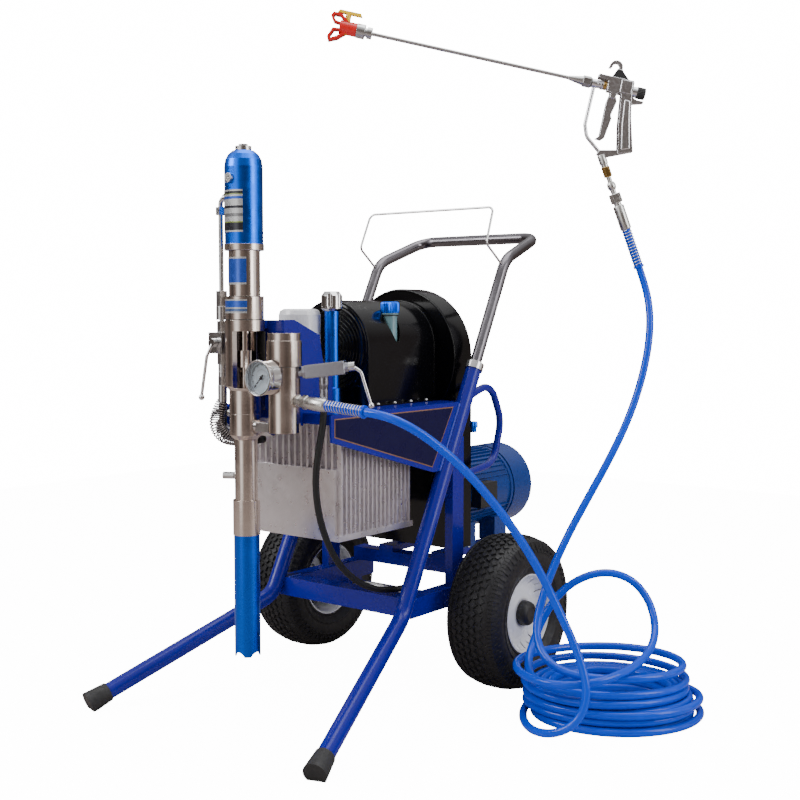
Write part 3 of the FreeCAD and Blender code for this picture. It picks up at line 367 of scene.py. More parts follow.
weld_blue = surface("weld_blue", (0.018, 0.030, 0.36), 0.34, patch=60, vary=0.25, grain=300, grain_depth=0.4)
brass = surface("brass", (0.62, 0.40, 0.13), 0.2, metal=1.0, patch=40, vary=0.1, grain=900)
# Black for seams and black rings, also used as painted shade: the ring behind the rim slots and the plate inside the
# coupling window.
seam_and_shade_black = surface("seam_and_shade_black", (0.02, 0.018, 0.017), 0.5, patch=60)
spring_wire = surface("spring_wire", (0.34, 0.33, 0.34), 0.24, metal=1.0, patch=60)
valve_metal = surface("valve_metal", (0.40, 0.40, 0.45), 0.2, metal=1.0, patch=30, grain=500, edge=0.004)
dial_white = surface("dial_white", (0.78, 0.84, 0.90), 0.45, patch=30, vary=0.04, grain=900, grain_depth=0.03)
filter_blue = surface("filter_blue", (0.22, 0.36, 0.66), 0.4, patch=40)
neck_green = surface("neck_green", (0.13, 0.25, 0.28), 0.35, patch=30, vary=0.2, coat=0.3)
clear = Shader("clear_glass")
clear.set(Base_Color=(0.95, 0.98, 1.0), Roughness=clear.spread(clear.noise(40, 3), 0.01, 0.06), IOR=1.35,
          Transmission_Weight=1.0)

FINISHES = [
    (frame_blue, ["side_tube_left", "side_tube_right", "base_frame", "upper_frame", "lifting_loops",
                  "pump_bracket"]),
    (cap_rubber, ["foot_caps"]),
    (bright_steel, ["tube_collars", "axle", "motor_rotor", "pump_fittings", "hydraulic_line",
                    "outlet_fitting", "gun_pole", "gun_swivel"]),
    (rubber, ["tyre_left", "tyre_right", "drive_belts", "hydraulic_hose", "drain_hose"]),
    (white_paint, ["wheel_rim_left", "wheel_rim_right", "oil_filter"]),
    (dark_steel, ["handle"]),
    (chrome, ["hose_rack", "cover_screws", "control_knob", "gauge_case", "hydraulic_lever", "drain_lever"]),
    (cast_alloy, ["oil_tank"]),
    (gloss_black, ["hood", "belt_guard"]),
    (motor_blue, ["motor_housing", "motor_fan_cover"]),
    (black_plastic, ["motor_terminal_box"]),
    (cast_iron, ["motor_pulley", "pump_pulley", "gear_pump"]),
    (anodised, ["filler_cap", "control_valve", "cylinder_dome", "suction_tube"]),
    (nickel, ["hydraulic_cylinder", "coupling_housing", "pump_rod", "packing_housing", "fluid_cylinder",
              "foot_valve", "manifold"]),
    (valve_metal, ["drain_valve"]),
    (neck_green, ["filler_neck"]),
    (clear, ["gauge_glass"]),
    (needle_black, ["gauge_needle"]),
    (hose_blue, ["paint_hose", "hose_coil"]),
    (gun_alloy, ["gun_body", "gun_trigger"]),
    (red_plastic, ["tip_guard"]),
    (yellow_plastic, ["spray_tip"]),
]
for shader, names in FINISHES:
    finish_cad(names, shader)

def heading(azimuth_degrees, slope):
    a = math.radians(azimuth_degrees)
    return Vector((math.cos(a), math.sin(a), slope)).normalized()


MANIFOLD_AT = (0.102, -0.507)
OUTLET_LINE = heading(3, -0.085)
OUTLET_AT = at(*MANIFOLD_AT, 0.639)
HOSE_START = OUTLET_AT + OUTLET_LINE * 0.188
GUN_AT = at(0.441, 0.138, 1.273)
GUN_TURN = Matrix.Rotation(math.radians(37.8), 3, "Z") @ Matrix.Rotation(math.radians(12.3), 3, "Y")
TAIL_LINE = (GUN_TURN @ Vector((0.527, 0, -0.85))).normalized()
TAIL_AT = GUN_AT + GUN_TURN @ Vector((0.004, 0, -0.146))
HOSE_END = TAIL_AT + TAIL_LINE * 0.25

# ---------------------------------------------------------------- wheels
TRACK_HALF = 0.2775
TYRE_RADIUS = 0.165
CROWN = 0.1605              # carcass under the tread blocks
TREAD_ROWS = (-0.045, -0.030, -0.015, 0.0, 0.015, 0.030, 0.045)
TREAD_PITCH = 58
SLOTS = 24


def wheel_place(s):
    """Outwards along Z, so that a wheel is drawn once for both sides."""
    return axes_at(at(s * TRACK_HALF, 0, AXLE_HEIGHT), X * s)


def crown_radius(across):
    """Tread radius of the carcass at a distance from the wheel's middle plane."""
    return CROWN - 0.0105 * (abs(across) / 0.05) ** 2.6


def add_tread_block(bm, place, angle, across, length, width, twist, height):
    centre = Vector((math.cos(angle), math.sin(angle), 0))
    round_way = Vector((-math.sin(angle), math.cos(angle), 0))
    base, top = [], []
    for u, v in ((-1, -1), (1, -1), (1, 1), (-1, 1)):
        a = u * length * math.cos(twist) - v * width * math.sin(twist)
        b = u * length * math.sin(twist) + v * width * math.cos(twist)
        z = across + b
        radius = crown_radius(z)
        base.append(bm.verts.new(place @ (centre * (radius - 0.0015) + round_way * a + Z * z)))
        shrink = 0.82
        z2 = across + b * shrink
        radius2 = min(crown_radius(z2) + height, TYRE_RADIUS - 0.0004)
        top.append(bm.verts.new(place @ (centre * radius2 + round_way * a * shrink + Z * z2)))
    bm.faces.new(top)
    for i in range(4):
        j = (i + 1) % 4
        bm.faces.new([base[i], base[j], top[j], top[i]])


def make_tyre(name, s, body):
    place = wheel_place(s)
    bm = bmesh.new()
    half = [(0.0800, 0.0455), (0.0830, 0.0490), (0.0880, 0.0515), (0.0905, 0.0505), (0.0930, 0.0530),
            (0.1040, 0.0575), (0.1060, 0.0590), (0.1080, 0.0578), (0.1200, 0.0603), (0.1340, 0.0588),
            (0.1440, 0.0556), (0.1500, 0.0520), (0.1545, 0.0460), (0.1580, 0.0360), (0.1598, 0.0200)]
    profile = half + [(CROWN, 0.0)] + [(r, -z) for r, z in reversed(half)]
    add_lathe(bm, place, profile, 120)
    for row, across in enumerate(TREAD_ROWS):
        for i in range(TREAD_PITCH):
            angle = 2 * math.pi * (i + 0.5 * (row % 2)) / TREAD_PITCH
            twist = math.radians(32) * (1 if (i + row) % 2 else -1) + 0.3 * math.sin(i * 1.7 + row)
            add_tread_block(bm, place, angle, across, 0.0060, 0.0056, twist, 0.0044)
    for side in SIDES:
        for i in range(TREAD_PITCH * 2):
            angle = math.pi * i / TREAD_PITCH
            centre = Vector((math.cos(angle), math.sin(angle), 0))
            round_way = Vector((-math.sin(angle), math.cos(angle), 0))
            long = 0.131 if i % 2 else 0.139
            path = [(0.1555, 0.0450), (0.1515, 0.0522), (long, 0.0600)]
            half_width = 0.0036
            rows = []
            for k, (radius, z) in enumerate(path):
                lift = 0.0028 if k < 2 else 0.0006
                slope = Vector((0, 0, 1)) * (0.5 + 0.25 * k) + centre * (0.9 - 0.35 * k)
                peak = centre * radius + Z * z * side + Vector((slope.x, slope.y, slope.z * side)).normalized() * lift
                rows.append([bm.verts.new(place @ (centre * (radius - 0.002) + Z * (z - 0.002) * side
                                                   + round_way * half_width * 1.25)),
                             bm.verts.new(place @ (peak + round_way * half_width)),
                             bm.verts.new(place @ (peak - round_way * half_width)),
                             bm.verts.new(place @ (centre * (radius - 0.002) + Z * (z - 0.002) * side
                                                   - round_way * half_width * 1.25))])
            for a, b in zip(rows, rows[1:]):
                for k in range(3):
                    bm.faces.new([a[k], a[k + 1], b[k + 1], b[k]])
            bm.faces.new(rows[0])
            bm.faces.new(rows[-1][::-1])
    tyre = from_bmesh(name, bm, body, tyre_rubber.material, 32)
    return tyre


def make_rim(name, s, body):
    """Pressed rim: the dished disc has radial slots cut through it near its edge."""
    place = wheel_place(s)
    bm = bmesh.new()
    steps = SLOTS * 12
    disc = [(0.0840, 0.0496), (0.0828, 0.0505), (0.0806, 0.0488), (0.0790, 0.0440), (0.0700, 0.0320),
            (0.0640, 0.0282), (0.0540, 0.0272), (0.0450, 0.0300), (0.0360, 0.0335), (0.0262, 0.0345)]
    rings = []
    for radius, height in disc:
        rings.append([bm.verts.new(place @ Vector((radius * math.cos(2 * math.pi * i / steps),
                                                   radius * math.sin(2 * math.pi * i / steps), height)))
                      for i in range(steps)])
    slot_from, slot_to, short_to = 3, 4, 3
    for k, (a, b) in enumerate(zip(rings, rings[1:])):
        for i in range(steps):
            j = (i + 1) % steps
            in_slot = i % 12 < 2 and slot_from <= k <= slot_to and not (i // 12 % 2 and k > short_to)
            if not in_slot:
                bm.faces.new([a[i], a[j], b[j], b[i]])
    face = from_bmesh(name + "_disc", bm, body, white_paint.material, 40)
    thick = face.modifiers.new("plate", "SOLIDIFY")
    thick.thickness = 0.0022
    thick.offset = -1
    barrel = lathe(name + "_barrel", place,
                   [(0.0842, 0.0470), (0.0842, 0.0500), (0.0815, 0.0500), (0.0768, 0.0420), (0.0768, -0.0420),
                    (0.0815, -0.0500), (0.0842, -0.0500), (0.0842, -0.0470), (0.0798, -0.0410), (0.0798, 0.0410),
                    (0.0842, 0.0470)], body, white_paint.material, 96)
    shadow = lathe(name + "_shadow_ring", place, [(0.0500, 0.0215), (0.0500, 0.0235), (0.0757, 0.0265),
                   (0.0757, 0.0240), (0.0500, 0.0215)], body, seam_and_shade_black.material, 96)
    hub = lathe(name + "_hub", place,
                [(0.0104, -0.048), (0.0190, -0.048), (0.0190, 0.018), (0.0300, 0.024), (0.0300, 0.033),
                 (0.0104, 0.033), (0.0104, -0.048)], body, zinc.material, 48)
    cap = lathe(name + "_cap", place,
                [(0.0264, 0.0335), (0.0266, 0.0400), (0.0263, 0.0440), (0.0245, 0.0510), (0.0215, 0.0542),
                 (0.0150, 0.0560), (0.0146, 0.0550), (0.0, 0.0552)], body, black_plastic.material, 48)
    valve = lathe(name + "_valve", axes_at(place @ Vector((0.0, -0.068, 0.030)), (place.to_3x3() @ Vector((0, 0.25, 1)))),
                  [(0.0, 0.026), (0.0042, 0.026), (0.0046, 0.012), (0.0038, 0.010), (0.0038, 0.0)], body,
                  black_plastic.material, 16)
    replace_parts(face, name)
    return face


for side_name, s in (("left", -1), ("right", 1)):
    wheel = "wheel_" + side_name
    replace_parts(make_tyre("tyre_tread_" + side_name, s, wheel), "tyre_" + side_name)
    make_rim("wheel_rim_" + side_name, s, wheel)


# ---------------------------------------------------------------- welds and panels
WELD_UP = Vector((0.31, 0.17, 0.93))


def weld(name, points, size=0.0032, body="cart", step=0.0036):
    """A rippled weld bead along straight runs."""
    line = []
    for a, b in zip(points, points[1:]):
        count = max(2, int((b - a).length / step))
        line += [a.lerp(b, i / count) for i in range(count)]
    line.append(points[-1])
    bm = bmesh.new()
    rings = []
    for i, point in enumerate(line):
        way = line[min(i + 1, len(line) - 1)] - line[max(i - 1, 0)]
        place = axes_at(point, way, WELD_UP)
        radius = size * ((1.12 if i % 2 else 0.86) + 0.16 * noise.noise(point * 210))
        rings.append([bm.verts.new(place @ Vector((radius * math.cos(k * math.pi / 4),
                                                   radius * math.sin(k * math.pi / 4), 0))) for k in range(8)])
    for a, b in zip(rings, rings[1:]):
        for k in range(8):
            bm.faces.new([a[k], a[(k + 1) % 8], b[(k + 1) % 8], b[k]])
    bm.faces.new(rings[0][::-1])
    bm.faces.new(rings[-1])
    bead = from_bmesh(name, bm, body, weld_blue.material, 60)


FRAME_HALF = 0.180
TUBE_RADIUS = 0.017
TUBE_TOP = Vector((FRAME_HALF, 0.0040, 0.6768))
LEAN = Vector((0, 0.4574, 0.8893))


def tube_at(s, height, forward=0.0, outward=0.0):
    """A point on a side tube's centreline at a height, moved across the tube."""
    along = (TUBE_TOP.z - height) / LEAN.z
    y = TUBE_TOP.y - LEAN.y * along
    return at(s * (FRAME_HALF + outward), y + forward, height)


INSET = {1: [(-0.4575, 0.6020), (-0.0735, 0.6020), (-0.1485, 0.4800), (-0.4575, 0.5665)],
         -1: [(-0.3945, 0.6020), (-0.0735, 0.6020), (-0.1485, 0.4800), (-0.3945, 0.5590)]}


def shrink(outline, margin):
    """Move each edge of a convex outline inwards."""
    count = len(outline)
    centre = Vector((sum(p[0] for p in outline) / count, sum(p[1] for p in outline) / count))
    lines = []
    for i in range(count):
        a, b = Vector(outline[i]), Vector(outline[(i + 1) % count])
        normal = Vector((-(b - a).y, (b - a).x)).normalized()
        if (centre - a).dot(normal) < 0:
            normal = -normal
        lines.append((a + normal * margin, b - a))
    corners = []
    for i in range(count):
        p, d = lines[i - 1]
        q, e = lines[i]
        cross = d.x * e.y - d.y * e.x
        t = ((q.x - p.x) * e.y - (q.y - p.y) * e.x) / cross
        corners.append(tuple(p + d * t))
    return corners


def side_panel(s):
    name = "left" if s < 0 else "right"

    def prism(piece, margin, high, material):
        bm = bmesh.new()
        points = shrink(INSET[s], margin) if margin else INSET[s]
        corners = []
        for height in (0.0, high):
            corners.append([bm.verts.new(at(s * (0.1819 + height), y, z)) for y, z in points])
        bm.faces.new(corners[1])
        bm.faces.new(corners[0][::-1])
        for i in range(4):
            j = (i + 1) % 4
            bm.faces.new([corners[0][i], corners[0][j], corners[1][j], corners[1][i]])
        obj = from_bmesh(piece, bm, "cart", material, 30)

    prism("panel_trim_" + name, 0.0, 0.0007, copper_line.material)
    prism("panel_inset_" + name, 0.0024, 0.0010, panel_navy.material)
    weld("weld_panel_" + name, [at(s * 0.1825, -0.0522, 0.607), at(s * 0.1825, -0.1238, 0.470)], 0.0030)
    weld("weld_post_" + name, [tube_at(s, 0.536, 0.0250, -0.0162), tube_at(s, 0.515, 0.0215, -0.004),
                               tube_at(s, 0.500, 0.0220, 0.006)], 0.0030)
    weld("weld_rail_" + name, [tube_at(s, 0.2165, 0.0215, -0.008), tube_at(s, 0.2165, 0.0215, 0.008)], 0.0032)
    weld("weld_loop_top_" + name, [tube_at(s, 0.634, 0.0195, 0.009), tube_at(s, 0.640, 0.0205, 0.0),
                                   tube_at(s, 0.634, 0.0195, -0.009)], 0.0026)


for s in SIDES:
    side_panel(s)
weld("weld_front_bar_right", [at(0.152, -0.188, 0.2172), at(0.152, -0.226, 0.2172)], 0.0026)
weld("weld_front_bar_left", [at(-0.152, -0.188, 0.2172), at(-0.152, -0.226, 0.2172)], 0.0026)
for s in SIDES:
    tag = "left" if s < 0 else "right"
    weld("weld_foot_of_post_" + tag, [at(s * 0.165, -0.079, 0.2175), at(s * 0.165, -0.039, 0.2175),
                                      at(s * 0.185, -0.039, 0.2175)], 0.0026)

# ---------------------------------------------------------------- pump, labels and gauge
PUMP_AT = at(0, -0.507, 0)
MANIFOLD = at(0.102, -0.507, 0)
LABEL_FROM, LABEL_TO = -140, -48


def banded(name, stops, rough=0.3, metal=0.6):
    """Printed foil: flat colour bands up its height, with no words on it."""
    s = Shader(name)
    parts = s.add("ShaderNodeSeparateXYZ")
    s.put(parts.inputs["Vector"], s.add("ShaderNodeTexCoord").outputs["Generated"])
    ramp = s.add("ShaderNodeValToRGB")
    ramp.color_ramp.interpolation = "CONSTANT"
    for i, (position, color) in enumerate(stops):
        stop = ramp.color_ramp.elements[i] if i < 2 else ramp.color_ramp.elements.new(position)
        stop.position = position
        stop.color = (*color, 1)
    s.put(ramp.inputs["Fac"], parts.outputs["Z"])
    s.set(Base_Color=ramp.outputs["Color"], Metallic=metal, Coat_Weight=0.5,
          Roughness=s.spread(s.noise(70, 3), rough * 0.7, rough * 1.3))
    s.set(Normal=s.bump(s.noise(300, 2), 0.05))
    return s


def wrapped(name, centre, radius, angles, low, high, material, body="cart", thick=0.0005, steps=18):
    """A thin foil wrapped part of the way round a column."""
    bm = bmesh.new()
    grid = []
    for layer in (0.0, thick):
        for height in (low, high):
            row = []
            for i in range(steps + 1):
                a = math.radians(angles[0] + (angles[1] - angles[0]) * i / steps)
                row.append(bm.verts.new(centre + Vector(((radius + layer) * math.cos(a),
                                                         (radius + layer) * math.sin(a), height))))
            grid.append(row)
    inner_low, inner_high, low_row, high_row = grid
    for i in range(steps):
        bm.faces.new([low_row[i], low_row[i + 1], high_row[i + 1], high_row[i]])
        bm.faces.new([high_row[i], high_row[i + 1], inner_high[i + 1], inner_high[i]])
        bm.faces.new([low_row[i + 1], low_row[i], inner_low[i], inner_low[i + 1]])
    for i in (0, steps):
        bm.faces.new([inner_low[i], low_row[i], high_row[i], inner_high[i]])
    obj = from_bmesh(name, bm, body, material, 30)
    return obj


SILVER, DARK, PALE_BLUE = (0.55, 0.56, 0.57), (0.03, 0.03, 0.04), (0.03, 0.10, 0.55)
dome_foil = banded("dome_foil", [(0.0, SILVER), (0.04, DARK), (0.22, (0.32, 0.40, 0.10)), (0.25, SILVER),
                                 (0.36, (0.22, 0.22, 0.23)), (0.44, SILVER), (0.56, DARK), (0.62, SILVER),
                                 (0.78, PALE_BLUE), (0.84, SILVER), (0.88, (0.25, 0.30, 0.12)), (0.91, DARK),
                                 (0.96, SILVER)])
blue_foil = banded("blue_foil", [(0.0, SILVER), (0.07, PALE_BLUE), (0.93, SILVER)], rough=0.25)
strip_foil = banded("strip_foil", [(0.0, SILVER), (0.12, (0.10, 0.16, 0.34)), (0.32, SILVER), (0.42, PALE_BLUE),
                                   (0.9, SILVER)])
wrapped("dome_label", PUMP_AT, 0.0366, (LABEL_FROM, LABEL_TO), 0.951, 1.030, dome_foil.material)
wrapped("cylinder_label", PUMP_AT, 0.0301, (LABEL_FROM, -38), 0.853, 0.905, blue_foil.material)
wrapped("strip_label", PUMP_AT, 0.0366, (LABEL_FROM, -38), 0.799, 0.825, strip_foil.material)
wrapped("filter_line_low", at(-0.025, -0.325, 0), 0.0431, (-100, -10), 0.706, 0.7075, filter_blue.material)
wrapped("filter_line_high", at(-0.025, -0.325, 0), 0.0431, (-100, -10), 0.742, 0.7435, filter_blue.material)
for name, radius, height in (("upper", 0.0383, 0.7868), ("middle", 0.0301, 0.6520), ("lower", 0.0366, 0.8305)):
    seam = lathe("seam_" + name, axes_at(PUMP_AT, Z), [(radius - 0.002, height - 0.0007),
                 (radius, height - 0.0004), (radius, height + 0.0004), (radius - 0.002, height + 0.0007)],
                 "cart", seam_and_shade_black.material, 64)
seam = lathe("seam_manifold", axes_at(MANIFOLD, Z), [(0.030, 0.6992), (0.0338, 0.6996), (0.0338, 0.7004),
             (0.030, 0.7008)], "cart", seam_and_shade_black.material, 64)

# Painted shade inside the coupling window: a flat black plate at the back of the opening.
bm = bmesh.new()
add_box(bm, Matrix.Identity(4), tuple(PUMP_AT + Vector((0.004, 0.0205, 0.6575))),
        tuple(PUMP_AT + Vector((0.0325, 0.0225, 0.7645))))
window_shade_plate = from_bmesh("window_shade_plate", bm, "cart", seam_and_shade_black.material, 30)
soften(window_shade_plate, 0.0006)

# Painted shade on the inner wall behind the window: a thin dark steel liner.
wrapped("window_shade_liner", PUMP_AT, 0.0262, (8, 82), 0.657, 0.765, dark_steel.material)
ring = lathe("dome_ring", axes_at(PUMP_AT, Z), [(0.0365, 0.9176), (0.0378, 0.9182), (0.0378, 0.9294),
             (0.0365, 0.9300)], "cart", nickel.material, 64)
GAUGE_AT = at(0.102, -0.5651, 0.681)
DIAL_RADIUS = 0.0298
dial_place = axes_at(GAUGE_AT, -Y, Z)


def dial_marks():
    """Scale ticks and arcs round the dial, from lower left over the top to lower right."""
    bm = bmesh.new()
    for i in range(51):
        turn = math.radians(225 - 270 * i / 50)
        long = 0.0046 if i % 10 == 0 else (0.0034 if i % 5 == 0 else 0.0022)
        wide = 0.00035 if i % 5 == 0 else 0.00018
        spoke = GAUGE_AT + Vector((math.cos(turn), 0, math.sin(turn))) * 0.0255
        add_box(bm, axes_at(spoke, -Y, Vector((math.cos(turn), 0, math.sin(turn)))), (-long, -wide, 0.0001),
                (0, wide, 0.0004))
    steps = 72
    for radius, wide in ((0.0259, 0.0002), (0.0150, 0.00012)):
        rows = []
        for i in range(steps + 1):
            turn = math.radians(225 - 270 * i / steps)
            way = Vector((math.cos(turn), 0, math.sin(turn)))
            rows.append([bm.verts.new(GAUGE_AT + way * (radius - wide) - Y * 0.0004),
                         bm.verts.new(GAUGE_AT + way * (radius + wide) - Y * 0.0004)])
        for a, b in zip(rows, rows[1:]):
            bm.faces.new([a[0], a[1], b[1], b[0]])
    return bm


dial = lathe("gauge_dial", dial_place, [(0.0, 0.00005), (0.020, 0.00005), (DIAL_RADIUS, 0.00005),
             (DIAL_RADIUS, -0.0004)], "cart", dial_white.material, 64)
marks = from_bmesh("gauge_marks", dial_marks(), "cart", needle_black.material, 30)
bezel = lathe("gauge_bezel", dial_place, [(0.0302, 0.0096), (0.0308, 0.0128), (0.0322, 0.0132), (0.0332, 0.0120),
              (0.0334, 0.0040), (0.0331, 0.0030), (0.0326, 0.0030)], "cart", chrome.material, 96)

# ---------------------------------------------------------------- hood and guard
hood_place = axes_at(at(0, -0.2551, 0.727), -Y)
rings = [(0.0, 0.0006)]
for i in range(9):
    radius = 0.018 + 0.0084 * i
    rings += [(radius - 0.0026, 0.0004), (radius - 0.0012, 0.0024), (radius + 0.0012, 0.0024),
              (radius + 0.0026, 0.0004)]
rings += [(0.0945, 0.0004), (0.0955, -0.0004)]
grille = lathe("hood_rings", hood_place, rings, "cart", gloss_black.material, 96, 50)
for name, y, radius in (("front", -0.2545, 0.0985), ("rear", -0.0300, 0.0994)):
    loop = [at(radius * math.cos(math.pi * i / 40), y, 0.727 + radius * math.sin(math.pi * i / 40))
            for i in range(41)]
    loop = [at(radius, y, 0.617)] + loop + [at(-radius, y, 0.617)]
    seam = wire("hood_edge_" + name, loop, 0.0014, "cart", gloss_black.material, smooth_line=False, sides=3)
guard_ring = [at(0.147 * math.cos(math.pi * 2 * i / 72), -0.0205, 0.703 + 0.147 * math.sin(math.pi * 2 * i / 72))
              for i in range(-14, 51)]
lip = wire("guard_lip", guard_ring, 0.0022, "cart", gloss_black.material, smooth_line=False, sides=3)


def ribbed(name, place, profile, teeth, depth, body, material, per_tooth=6):
    """A turned piece whose rim is fluted with teeth, for knurled caps and knobs."""
    steps = teeth * per_tooth
    bm = bmesh.new()
    rows = []
    for radius, height, share in profile:
        if radius == 0:
            rows.append([bm.verts.new(place @ Vector((0, 0, height)))])
            continue
        row = []
        for i in range(steps):
            wave = 0.5 - 0.5 * math.cos(2 * math.pi * i / per_tooth)
            r = radius - depth * share * wave
            row.append(bm.verts.new(place @ Vector((r * math.cos(2 * math.pi * i / steps),
                                                    r * math.sin(2 * math.pi * i / steps), height))))
        rows.append(row)
    for low, high in zip(rows, rows[1:]):
        for i in range(steps):
            j = (i + 1) % steps
            corners = list(dict.fromkeys([low[i % len(low)], low[j % len(low)], high[j % len(high)],
                                          high[i % len(high)]]))
            bm.faces.new(corners)
    obj = from_bmesh(name, bm, body, material, 45)
    return obj


FILLER_AT = at(0.078, -0.158, 0)
cap = ribbed("filler_cap_ribs", axes_at(FILLER_AT, Z), [(0.0, 0.7995, 0), (0.0186, 0.7995, 0), (0.0196, 0.8010, 1),
             (0.0199, 0.8050, 1), (0.0199, 0.8180, 1), (0.0190, 0.8215, 1), (0.0172, 0.8228, 0.3),
             (0.0120, 0.8224, 0), (0.0, 0.8222, 0)], 24, 0.0016, "filler_cap", anodised.material)
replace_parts(cap, "filler_cap")
washer = lathe("filler_washer", axes_at(FILLER_AT, Z), [(0.0152, 0.7935), (0.0176, 0.7940), (0.0179, 0.7970),
               (0.0170, 0.7988), (0.0152, 0.7988)], "cart", black_plastic.material, 48)

# ---------------------------------------------------------------- ferrules, spring guards and swivels


def coil_along(name, points, radius, pitch, thickness, body, material, per_turn=12, taper=1.0):
    """A spring wound round a smooth line through points, narrowed to taper times its radius at both ends."""
    line, total = [], 0.0
    for i in range(len(points) - 1):
        before = points[max(i - 1, 0)]
        after = points[min(i + 2, len(points) - 1)]
        a, b = points[i], points[i + 1]
        for k in range(10):
            t = k / 10
            line.append(0.5 * (2 * a + (b - before) * t + (2 * before - 5 * a + 4 * b - after) * t * t
                               + (3 * a - before - 3 * b + after) * t ** 3))
    line.append(points[-1])
    lengths = [0.0]
    for a, b in zip(line, line[1:]):
        total += (b - a).length
        lengths.append(total)
    count = int(total / pitch * per_turn)
    out, k = [], 0
    side_way = Vector((0.31, 0.17, 0.93))
    for i in range(count + 1):
        s = total * i / count
        while k < len(line) - 2 and lengths[k + 1] < s:
            k += 1
        part = (s - lengths[k]) / max(1e-9, lengths[k + 1] - lengths[k])
        way = (line[k + 1] - line[k]).normalized()
        across = way.cross(side_way).normalized()
        other = way.cross(across)
        turn = 2 * math.pi * i / per_turn
        wide = radius * (taper + (1 - taper) * math.sin(math.pi * min(1, s / total * 1.25)))
        spoke = across * math.cos(turn) + other * math.sin(turn)
        out.append(line[k].lerp(line[k + 1], part) + spoke * wide)
    return wire(name, out, thickness, body, material, smooth_line=False, sides=2)


def add_hex(bm, place, across_flats, low, high):
    radius = across_flats / math.sqrt(3)
    chamfer = 0.0012
    rows = []
    for shrink, height in ((0.90, low), (1.0, low + chamfer), (1.0, high - chamfer), (0.90, high)):
        rows.append([bm.verts.new(place @ Vector((radius * shrink * math.cos(i * math.pi / 3),
                                                  radius * shrink * math.sin(i * math.pi / 3), height)))
                     for i in range(6)])
    for a, b in zip(rows, rows[1:]):
        for i in range(6):
            j = (i + 1) % 6
            bm.faces.new([a[i], a[j], b[j], b[i]])
    bm.faces.new(rows[0][::-1])
    bm.faces.new(rows[-1])


outlet_place = axes_at(OUTLET_AT, OUTLET_LINE)
bm = bmesh.new()
add_lathe(bm, outlet_place, [(0.0, 0.0240), (0.0072, 0.0240), (0.0084, 0.0255), (0.0084, 0.0310), (0.0062, 0.0318),
                             (0.0062, 0.0345), (0.0, 0.0345)], 32)
add_hex(bm, outlet_place, 0.0215, 0.0310, 0.0385)
add_lathe(bm, outlet_place, [(0.0, 0.0380), (0.0088, 0.0380), (0.0098, 0.0400), (0.0098, 0.0425), (0.0082, 0.0440),
                             (0.0066, 0.0445), (0.0, 0.0445)], 32)
add_hex(bm, outlet_place, 0.0235, 0.0445, 0.0560)
add_lathe(bm, outlet_place, [(0.0, 0.0550), (0.0090, 0.0550), (0.0108, 0.0570), (0.0108, 0.0595), (0.0122, 0.0610),
                             (0.0128, 0.0640), (0.0128, 0.0960), (0.0118, 0.0985), (0.0104, 0.1000),
                             (0.0, 0.1000)], 40)
ferrule = from_bmesh("outlet_ferrule", bm, "cart", zinc.material, 30)
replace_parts(ferrule, "outlet_fitting")
sleeve = lathe("outlet_sleeve", outlet_place, [(0.0, 0.0985), (0.0092, 0.0985), (0.0092, 0.1830), (0.0098, 0.1835),
               (0.0122, 0.1835), (0.0122, 0.1872), (0.0082, 0.1880)], "cart", hose_blue.material, 32)
guard = coil_along("outlet_spring", [OUTLET_AT + OUTLET_LINE * s for s in (0.100, 0.128, 0.156, 0.184)], 0.0102,
                   0.0062, 0.0009, "cart", chrome.material)

tail_place = axes_at(TAIL_AT, TAIL_LINE)
bm = bmesh.new()
add_lathe(bm, tail_place, [(0.0, 0.0002), (0.0078, 0.0002), (0.0088, 0.0020), (0.0088, 0.0200), (0.0074, 0.0215),
                           (0.0074, 0.0300), (0.0, 0.0300)], 32)
add_lathe(bm, tail_place, [(0.0, 0.0480), (0.0052, 0.0485), (0.0052, 0.0600), (0.0070, 0.0612), (0.0088, 0.0650),
                           (0.0094, 0.0690), (0.0088, 0.0730), (0.0070, 0.0768), (0.0058, 0.0780),
                           (0.0056, 0.0860), (0.0, 0.0860)], 32)
add_hex(bm, tail_place, 0.0216, 0.0860, 0.1060)
add_lathe(bm, tail_place, [(0.0, 0.1050), (0.0080, 0.1050), (0.0080, 0.1120), (0.0105, 0.1125), (0.0115, 0.1145),
                           (0.0115, 0.1620), (0.0105, 0.1645), (0.0, 0.1650)], 40)
swivel = from_bmesh("gun_tail_fittings", bm, "gun_swivel", zinc.material, 30)
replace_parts(swivel, "gun_swivel")
bm = bmesh.new()
add_hex(bm, tail_place, 0.0152, 0.0270, 0.0490)
brass_nut = from_bmesh("gun_tail_nut", bm, "gun_swivel", brass.material, 30)
sleeve = lathe("gun_tail_sleeve", tail_place, [(0.0, 0.1640), (0.0092, 0.1640), (0.0092, 0.2440),
               (0.0112, 0.2445), (0.0112, 0.2490), (0.0082, 0.2500)], "gun_swivel", hose_blue.material, 32)
guard = coil_along("gun_tail_spring", [TAIL_AT + TAIL_LINE * s for s in (0.166, 0.192, 0.218, 0.245)], 0.0102,
                   0.0062, 0.0009, "gun_swivel", chrome.material)

line_spring = coil_along("hydraulic_spring", [at(-0.063, -0.508, 0.628), at(-0.069, -0.512, 0.604),
                         at(-0.072, -0.510, 0.580), at(-0.068, -0.496, 0.560), at(-0.063, -0.462, 0.548),
                         at(-0.063, -0.425, 0.5435)],
                         0.0165, 0.0044, 0.0016, "cart", spring_wire.material, taper=0.58)

# ---------------------------------------------------------------- gun dressing


def on_gun(x, y, z):
    return GUN_AT + GUN_TURN @ Vector((x, y, z))


gun_place = Matrix.Translation(GUN_AT) @ GUN_TURN.to_4x4()
side_on = gun_place @ Matrix.Rotation(math.radians(90), 4, "X")


def gun_prism(name, outline, half, material, width=0.0012):
    """A rounded flat piece in the gun's own plane."""
    bm = bmesh.new()
    add_prism(bm, side_on, outline, -half, half)
    obj = soften(from_bmesh(name, bm, "cart", material, 40), width, 3)
    return obj


